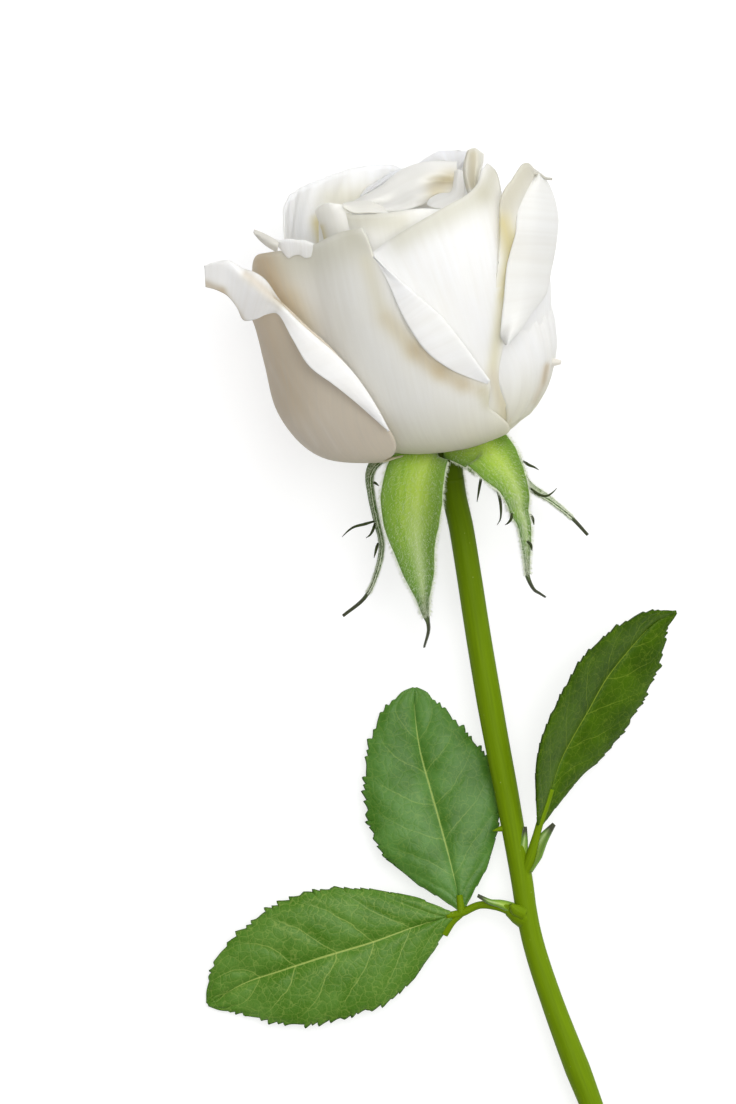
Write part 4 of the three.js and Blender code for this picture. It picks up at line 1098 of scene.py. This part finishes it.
def petal_skin():
    """Living rose petal: satin skin of domed cells over thin wet tissue, which lets light through."""
    made, tree = new_material("rose petal skin")
    place = add(tree, "ShaderNodeAttribute", attribute_name="surface").outputs["Vector"]
    tinted_and_shaded = add(tree, "ShaderNodeAttribute", attribute_name="tint_and_shade").outputs["Vector"]
    tinted_and_shaded = add(tree, "ShaderNodeSeparateXYZ", {0: tinted_and_shaded}).outputs
    inner = add(tree, "ShaderNodeAttribute", attribute_name="inner").outputs["Fac"]
    up = add(tree, "ShaderNodeSeparateXYZ", {0: place}).outputs["Y"]
    fibre_place = add(tree, "ShaderNodeVectorMath", {
        0: place, 1: (1 / 1.1, 1 / 16, 0),
    }, operation="MULTIPLY").outputs[0]
    fibres = add(tree, "ShaderNodeTexNoise", {
        "Vector": fibre_place, "Scale": 1.0, "Detail": 2.0,
    }).outputs["Fac"]
    cloud_place = add(tree, "ShaderNodeVectorMath", {
        0: place, 1: (1 / 9, 1 / 14, 0),
    }, operation="MULTIPLY").outputs[0]
    clouds = add(tree, "ShaderNodeTexNoise", {
        "Vector": cloud_place, "Scale": 1.0, "Detail": 2.0,
    }).outputs["Fac"]
    face = add(tree, "ShaderNodeMix", {
        0: inner, 6: colour("#fdfdfc"), 7: colour("#fafbff"),
    }, data_type="RGBA").outputs[2]
    cream = add(tree, "ShaderNodeMapRange", {0: clouds, 1: 0.4, 2: 0.75, 3: 0.0, 4: 0.4}).outputs[0]
    deep = add(tree, "ShaderNodeMapRange", {
        0: up, 1: 36.0, 2: 6.0, 3: 0.0, 4: 0.5,
    }, interpolation_type="SMOOTHSTEP").outputs[0]
    most = add(tree, "ShaderNodeMapRange", {0: tinted_and_shaded["X"], 1: 0.0, 2: 1.0, 3: 0.12, 4: 0.4}).outputs[0]
    streak = add(tree, "ShaderNodeMapRange", {0: fibres, 1: 0.35, 2: 0.7, 3: 0.0, 4: most}).outputs[0]
    # Grey is painted shade; brown and cream are partly the petal's own tint and partly painted shade, shadow
    # and glow, as marked on each piece
    layers = (
        (cream, "#fbfaf5"), (tinted_and_shaded["Z"], "#cfcfc4"), (tinted_and_shaded["Y"], "#e9e2b6"), (tinted_and_shaded["X"], "#d8c6a6"),
        (deep, "#e6e0a4"), (streak, "#d9d4c8"),
    )
    for share, code in layers:
        face = add(tree, "ShaderNodeMix", {0: share, 6: face, 7: colour(code)}, data_type="RGBA").outputs[2]
    bump = add(tree, "ShaderNodeBump", {
        "Strength": 0.25, "Distance": 0.12 * MM, "Height": fibres,
    }).outputs[0]
    skin = add(tree, "ShaderNodeBsdfPrincipled", {
        "Base Color": face, "Roughness": 0.5, "Specular IOR Level": 0.3, "Sheen Weight": 0.1, "Normal": bump,
    }).outputs[0]
    through_it = add(tree, "ShaderNodeBsdfTranslucent", {"Color": face, "Normal": bump}).outputs[0]
    both = add(tree, "ShaderNodeMixShader", {0: 0.42, 1: skin, 2: through_it}).outputs[0]
    add(tree, "ShaderNodeOutputMaterial", {"Surface": both})
    return made


def leaf_skin(name, blade_colour, pale_colour, vein_colour, vein_share, gloss):
    """Rose leaf: waxed upper face, a thin pale midrib, fainter side veins and a fine net between them."""
    made, tree = new_material(name)
    place = add(tree, "ShaderNodeAttribute", attribute_name="surface").outputs["Vector"]
    count = add(tree, "ShaderNodeAttribute", attribute_name="vein").outputs["Fac"]
    parts = add(tree, "ShaderNodeSeparateXYZ", {0: place}).outputs
    where = add(tree, "ShaderNodeTexCoord").outputs["Object"]
    clouds = add(tree, "ShaderNodeTexNoise", {"Vector": where, "Scale": 130.0, "Detail": 3.0}).outputs["Fac"]
    grain = add(tree, "ShaderNodeTexNoise", {"Vector": where, "Scale": 2600.0, "Detail": 2.0}).outputs["Fac"]
    bend = add(tree, "ShaderNodeTexNoise", {"Vector": where, "Scale": 420.0, "Detail": 2.0}).outputs["Color"]
    bend = add(tree, "ShaderNodeVectorMath", {
        0: bend, 1: (0.0022, 0.0022, 0.0022),
    }, operation="MULTIPLY").outputs[0]
    curved = add(tree, "ShaderNodeVectorMath", {0: where, 1: bend}, operation="ADD").outputs[0]
    cells = add(tree, "ShaderNodeTexVoronoi", {
        "Vector": curved, "Scale": 1 / (1.9 * MM),
    }, feature="DISTANCE_TO_EDGE").outputs[0]
    fine = add(tree, "ShaderNodeTexVoronoi", {
        "Vector": curved, "Scale": 1 / (0.7 * MM),
    }, feature="DISTANCE_TO_EDGE").outputs[0]
    wobble = add(tree, "ShaderNodeMapRange", {0: clouds, 1: 0.3, 2: 0.7, 3: -0.09, 4: 0.09}).outputs[0]
    count = add(tree, "ShaderNodeMath", {0: count, 1: wobble}, operation="ADD").outputs[0]
    gap = add(tree, "ShaderNodeMath", {0: count, 1: 0.5}, operation="PINGPONG").outputs[0]
    side_vein = add(tree, "ShaderNodeMapRange", {
        0: gap, 1: 0.004, 2: 0.024, 3: vein_share, 4: 0.0,
    }).outputs[0]
    inside = add(tree, "ShaderNodeMapRange", {0: parts["Z"], 1: 0.92, 2: 0.5, 3: 0.0, 4: 1.0}).outputs[0]
    side_vein = add(tree, "ShaderNodeMath", {0: side_vein, 1: inside}, operation="MULTIPLY").outputs[0]
    off_middle = add(tree, "ShaderNodeMath", {0: parts["X"]}, operation="ABSOLUTE").outputs[0]
    midrib = add(tree, "ShaderNodeMapRange", {0: off_middle, 1: 0.08, 2: 0.34, 3: 0.7, 4: 0.0}).outputs[0]
    net = add(tree, "ShaderNodeMapRange", {
        0: cells, 1: 0.0, 2: 0.05, 3: vein_share * 0.6, 4: 0.0,
    }).outputs[0]
    fine_net = add(tree, "ShaderNodeMapRange", {
        0: fine, 1: 0.0, 2: 0.12, 3: vein_share * 0.2, 4: 0.0,
    }).outputs[0]
    cloudy = add(tree, "ShaderNodeMapRange", {0: clouds, 1: 0.35, 2: 0.65, 3: 0.0, 4: 1.0}).outputs[0]
    face = add(tree, "ShaderNodeMix", {
        0: cloudy, 6: colour(blade_colour), 7: colour(pale_colour),
    }, data_type="RGBA").outputs[2]
    rim = add(tree, "ShaderNodeMapRange", {0: parts["Z"], 1: 0.96, 2: 1.0, 3: 0.0, 4: 0.6}).outputs[0]
    layers = [(share, vein_colour) for share in (fine_net, net, side_vein, midrib)]
    for share, code in (*layers, (rim, "#26350f")):
        face = add(tree, "ShaderNodeMix", {0: share, 6: face, 7: colour(code)}, data_type="RGBA").outputs[2]
    grain_bump = add(tree, "ShaderNodeBump", {
        "Strength": 0.25, "Distance": 0.06 * MM, "Height": grain,
    }).outputs[0]
    domed = add(tree, "ShaderNodeMapRange", {0: cells, 1: 0.0, 2: 0.3, 3: 0.0, 4: 1.0}).outputs[0]
    bump = add(tree, "ShaderNodeBump", {
        "Strength": 0.3, "Distance": 0.12 * MM, "Height": domed, "Normal": grain_bump,
    }).outputs[0]
    shiny = add(tree, "ShaderNodeBsdfPrincipled", {
        "Base Color": face, "Roughness": 0.42, "Specular IOR Level": gloss, "Normal": bump,
    }).outputs[0]
    through_it = add(tree, "ShaderNodeBsdfTranslucent", {"Color": face}).outputs[0]
    both = add(tree, "ShaderNodeMixShader", {0: 0.1, 1: shiny, 2: through_it}).outputs[0]
    add(tree, "ShaderNodeOutputMaterial", {"Surface": both})
    return made


def stem_skin():
    """Young rose stem: smooth green skin with fine lengthwise fibres under a thin wax."""
    made, tree = new_material("rose stem skin")
    where = add(tree, "ShaderNodeTexCoord").outputs["Object"]
    place = add(tree, "ShaderNodeAttribute", attribute_name="surface").outputs["Vector"]
    fibre_place = add(tree, "ShaderNodeVectorMath", {
        0: place, 1: (6, 1 / 12, 0),
    }, operation="MULTIPLY").outputs[0]
    fibres = add(tree, "ShaderNodeTexNoise", {
        "Vector": fibre_place, "Scale": 1.0, "Detail": 3.0,
    }).outputs["Fac"]
    face = add(tree, "ShaderNodeMix", {
        0: fibres, 6: colour("#587304"), 7: colour("#73900a"),
    }, data_type="RGBA").outputs[2]
    painted_shade = add(tree, "ShaderNodeAttribute", attribute_name="painted_shade").outputs["Fac"]
    specks = add(tree, "ShaderNodeTexVoronoi", {
        "Vector": where, "Scale": 1 / (2.6 * MM),
    }).outputs["Distance"]
    speck = add(tree, "ShaderNodeMapRange", {0: specks, 1: 0.03, 2: 0.07, 3: 0.35, 4: 0.0}).outputs[0]
    # Painted shade: darker where each piece's mark says, under the calyx
    for share, code in ((painted_shade, "#354502"), (speck, "#b9c478")):
        face = add(tree, "ShaderNodeMix", {0: share, 6: face, 7: colour(code)}, data_type="RGBA").outputs[2]
    bump = add(tree, "ShaderNodeBump", {"Strength": 0.2, "Distance": 0.2 * MM, "Height": fibres}).outputs[0]
    skin = add(tree, "ShaderNodeBsdfPrincipled", {
        "Base Color": face, "Roughness": 0.5, "Specular IOR Level": 0.05, "Normal": bump,
    }).outputs[0]
    add(tree, "ShaderNodeOutputMaterial", {"Surface": skin})
    return made


def sepal_skin():
    """Rose sepal: soft downy green with a pale band beside its middle, dark edges and a brown-black tip."""
    made, tree = new_material("rose sepal skin")
    place = add(tree, "ShaderNodeAttribute", attribute_name="surface").outputs["Vector"]
    parts = add(tree, "ShaderNodeSeparateXYZ", {0: place}).outputs
    off_middle = add(tree, "ShaderNodeMath", {0: parts["X"]}, operation="ABSOLUTE").outputs[0]
    off_band = add(tree, "ShaderNodeMath", {0: parts["X"], 1: 0.15}, operation="ADD").outputs[0]
    off_band = add(tree, "ShaderNodeMath", {0: off_band}, operation="ABSOLUTE").outputs[0]
    painted_shade = add(tree, "ShaderNodeAttribute", attribute_name="painted_shade").outputs["Fac"]
    fibre_place = add(tree, "ShaderNodeVectorMath", {
        0: place, 1: (9, 1 / 5, 0),
    }, operation="MULTIPLY").outputs[0]
    fibres = add(tree, "ShaderNodeTexNoise", {
        "Vector": fibre_place, "Scale": 1.0, "Detail": 4.0,
    }).outputs["Fac"]
    streak = add(tree, "ShaderNodeMapRange", {0: fibres, 1: 0.38, 2: 0.62, 3: 0.0, 4: 0.5}).outputs[0]
    face = add(tree, "ShaderNodeMix", {
        0: streak, 6: colour("#7ea328"), 7: colour("#a9c44a"),
    }, data_type="RGBA").outputs[2]
    lower = add(tree, "ShaderNodeMapRange", {0: parts["Z"], 1: 0.35, 2: 0.75, 3: 0.0, 4: 0.7}).outputs[0]
    pale = add(tree, "ShaderNodeMapRange", {0: parts["Z"], 1: 0.3, 2: 0.6, 3: 0.0, 4: 1.0}).outputs[0]
    band = add(tree, "ShaderNodeMix", {
        0: pale, 6: colour("#b6cd58"), 7: colour("#c8da9c"),
    }, data_type="RGBA").outputs[2]
    middle = add(tree, "ShaderNodeMapRange", {0: off_band, 1: 0.0, 2: 0.55, 3: 0.6, 4: 0.0}).outputs[0]
    edge = add(tree, "ShaderNodeMapRange", {0: off_middle, 1: 0.3, 2: 0.95, 3: 0.0, 4: 0.75}).outputs[0]
    tip = add(tree, "ShaderNodeMapRange", {0: parts["Z"], 1: 0.74, 2: 0.9, 3: 0.0, 4: 0.95}).outputs[0]
    # Painted shade darkens the sepals that lie in shade, by the mark on each
    layers = (
        (lower, colour("#5d8a35")), (middle, band), (edge, colour("#557a28")), (painted_shade, colour("#3f5a20")),
        (tip, colour("#3a3c2a")),
    )
    for share, over in layers:
        face = add(tree, "ShaderNodeMix", {0: share, 6: face, 7: over}, data_type="RGBA").outputs[2]
    bump = add(tree, "ShaderNodeBump", {"Strength": 0.5, "Distance": 0.25 * MM, "Height": fibres}).outputs[0]
    skin = add(tree, "ShaderNodeBsdfPrincipled", {
        "Base Color": face, "Roughness": 0.7, "Specular IOR Level": 0.2, "Sheen Weight": 0.3, "Normal": bump,
    }).outputs[0]
    add(tree, "ShaderNodeOutputMaterial", {"Surface": skin})
    return made


def plain_skin(name, first_colour, second_colour):
    """Dry thin growth, matt: down is pale green-white, the old side lobes of a sepal are brown-black."""
    made, tree = new_material(name)
    where = add(tree, "ShaderNodeTexCoord").outputs["Object"]
    spots = add(tree, "ShaderNodeTexNoise", {"Vector": where, "Scale": 900.0, "Detail": 2.0}).outputs["Fac"]
    face = add(tree, "ShaderNodeMix", {
        0: spots, 6: colour(first_colour), 7: colour(second_colour),
    }, data_type="RGBA").outputs[2]
    skin = add(tree, "ShaderNodeBsdfPrincipled", {
        "Base Color": face, "Roughness": 0.75, "Specular IOR Level": 0.2,
    }).outputs[0]
    add(tree, "ShaderNodeOutputMaterial", {"Surface": skin})
    return made


PETAL_SKIN = petal_skin()
# For each leaflet: its greens, the colour of its veins, how plain they show and how glossy it is
LEAF_SKINS = {
    "leaflet_upper": leaf_skin("smooth rose leaf skin", "#406e1a", "#578538", "#a5ba58", 0.26, 0.26),
    "leaflet_lower": leaf_skin("veined rose leaf skin", "#477418", "#5a852f", "#b8c868", 0.42, 0.2),
    # The right leaflet's darker greens are partly painted shade: it is turned from the light
    "leaflet_right": leaf_skin("shaded rose leaf skin", "#314f02", "#436405", "#93a83c", 0.3, 0.08),
}
DOWN_SKIN = plain_skin("sepal down", "#f2f6e6", "#dfe8c6")
FILAMENT_SKIN = plain_skin("dry sepal lobe", "#3c4a1e", "#2c2f20")
STEM_SKIN = stem_skin()
SEPAL_SKIN = sepal_skin()


def finish_piece(piece, material, node):
    """Gives a piece its skin, and says what it moves with and what it replaces."""
    piece.data.materials.append(material)
    bpy.ops.object.shade_smooth()
    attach(piece, "root")
    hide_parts(node)


# The pieces

corners, faces = [], []
for name, petal in {**PETALS, **heart_petals()}.items():
    grid = HEART_GRID if name.startswith("heart") else PETAL_GRID
    piece, u, v = lay_grid("petal_" + name, *grid)
    points, flat, rim = petal_points(petal, u, v)
    write_points(piece, points)
    mark(piece, "surface", np.column_stack([flat[:, 0] / fan(v), flat[:, 1], rim]))
    mark(piece, "tint_and_shade", tints_and_shades(petal, points))
    thicken(piece, PETAL_WALL)
    finish_piece(piece, PETAL_SKIN, "bloom")
    faces += [[len(corners) + corner for corner in face.vertices] for face in piece.data.polygons]
    corners += [corner.co.copy() for corner in piece.data.vertices]
bodies = BVHTree.FromPolygons(corners, faces)

for name, shape in FLAPS.items():
    finish_piece(flap(name, shape, bodies), PETAL_SKIN, "bloom")
for name, rails in SLIVERS.items():
    finish_piece(sliver(name, rails, SLIVER_TINTS_AND_SHADES.get(name, {})), PETAL_SKIN, "bloom")

finish_piece(tube("hip", HIP_PATH, HIP_RADII, *HIP_GRID, painted_shade=HIP_PAINTED_SHADE), STEM_SKIN, "calyx")
for name, sepal in SEPALS.items():
    finish_piece(blade(name, sepal, *SEPAL_GRID, SEPAL_WALL), SEPAL_SKIN, "calyx")
    finish_piece(hairs("down_" + name, sepal), DOWN_SKIN, "calyx")
for name, path in FILAMENTS.items():
    finish_piece(tube(name, in_view(path), FILAMENT_RADII, *FILAMENT_GRID), FILAMENT_SKIN, "calyx")

stem = tube("stem", STEM_PATH, STEM_RADII, *STEM_GRID, STEM_CUT_SLANT, STEM_PAINTED_SHADE)
finish_piece(stem, STEM_SKIN, "stem")
for name, prickle in PRICKLES.items():
    finish_piece(tube(name, prickle["path"], prickle["radii"], *PRICKLE_GRID), STEM_SKIN, "stem")
for name, twig in TWIGS.items():
    finish_piece(tube(name, twig["path"], twig["radii"], *TWIG_GRID), STEM_SKIN, twig["node"])
for name, stipule in STIPULES.items():
    piece = blade(name, stipule, *STIPULE_GRID, LEAF_WALL)
    finish_piece(piece, SEPAL_SKIN, stipule["node"])
for name, leaf in LEAFLETS.items():
    finish_piece(leaflet(name, leaf), LEAF_SKINS[name], leaf["node"])

# Stage: table, light and camera

# The table top lies a little below 0, so that no piece's lowest face lies in it
TABLE_TOP = -0.2 * MM
TABLE_SIZE = 6
SENSOR_WIDTH = 36
SHEET_GLOW = 0.68
SHEET_GREY = (0.38, 0.38, 0.38, 1)
bpy.ops.object.select_all(action="DESELECT")
bpy.ops.mesh.primitive_plane_add(size=TABLE_SIZE, location=(0, 0, TABLE_TOP))
table = bpy.context.object
table.name = "table"
bpy.ops.object.transform_apply(location=True, rotation=False, scale=False)
paper, tree = new_material("lit white sheet")
glow = add(tree, "ShaderNodeEmission", {"Color": (1, 1, 1, 1), "Strength": SHEET_GLOW}).outputs[0]
lit = add(tree, "ShaderNodeBsdfDiffuse", {"Color": SHEET_GREY}).outputs[0]
both = add(tree, "ShaderNodeAddShader", {0: glow, 1: lit}).outputs[0]
add(tree, "ShaderNodeOutputMaterial", {"Surface": both})
table.data.materials.append(paper)

# Lamps: places and sizes in metres, power in watts
LAMPS = {
    "side": dict(at=(1.1, 0.46, 0.55), size=1.2, power=5),
    "high": dict(at=(0.8, 0.1, 1.1), size=1, power=2),
    "overhead": dict(at=(0.1, 0.1, 1.35), size=0.9, power=14.5),
    "back": dict(at=(0.2, 1.2, 0.8), size=1, power=6),
}
LIT_SPOT = Vector((0, 0, 0.03))
SKY_STRENGTH = 0.2
WHITE_BOUNCES = 10
for name, lamp in LAMPS.items():
    light = bpy.data.lights.new(name, "AREA")
    light.shape = "SQUARE"
    light.size = lamp["size"]
    light.energy = lamp["power"]
    stand = bpy.data.objects.new(name, light)
    bpy.context.scene.collection.objects.link(stand)
    stand.location = lamp["at"]
    stand.rotation_mode = "QUATERNION"
    stand.rotation_quaternion = (Vector(lamp["at"]) - LIT_SPOT).to_track_quat("Z", "Y")
    stand.visible_camera = False

sky = bpy.data.worlds.new("studio")
bpy.context.scene.world = sky
sky.use_nodes = True
sky.node_tree.nodes["Background"].inputs["Color"].default_value = (1, 1, 1, 1)
sky.node_tree.nodes["Background"].inputs["Strength"].default_value = SKY_STRENGTH
bpy.context.scene.view_settings.view_transform = "Standard"
# White petals pass light on many times
bpy.context.scene.cycles.diffuse_bounces = WHITE_BOUNCES

lens = bpy.data.cameras.new("camera")
lens.sensor_width = SENSOR_WIDTH
lens.lens = SENSOR_WIDTH * EYE[2] / VIEW_HEIGHT
lens.clip_start = 0.1
lens.clip_end = 20
camera = bpy.data.objects.new("camera", lens)
bpy.context.scene.collection.objects.link(camera)
camera.location = [part * MM for part in EYE]
bpy.context.scene.camera = camera
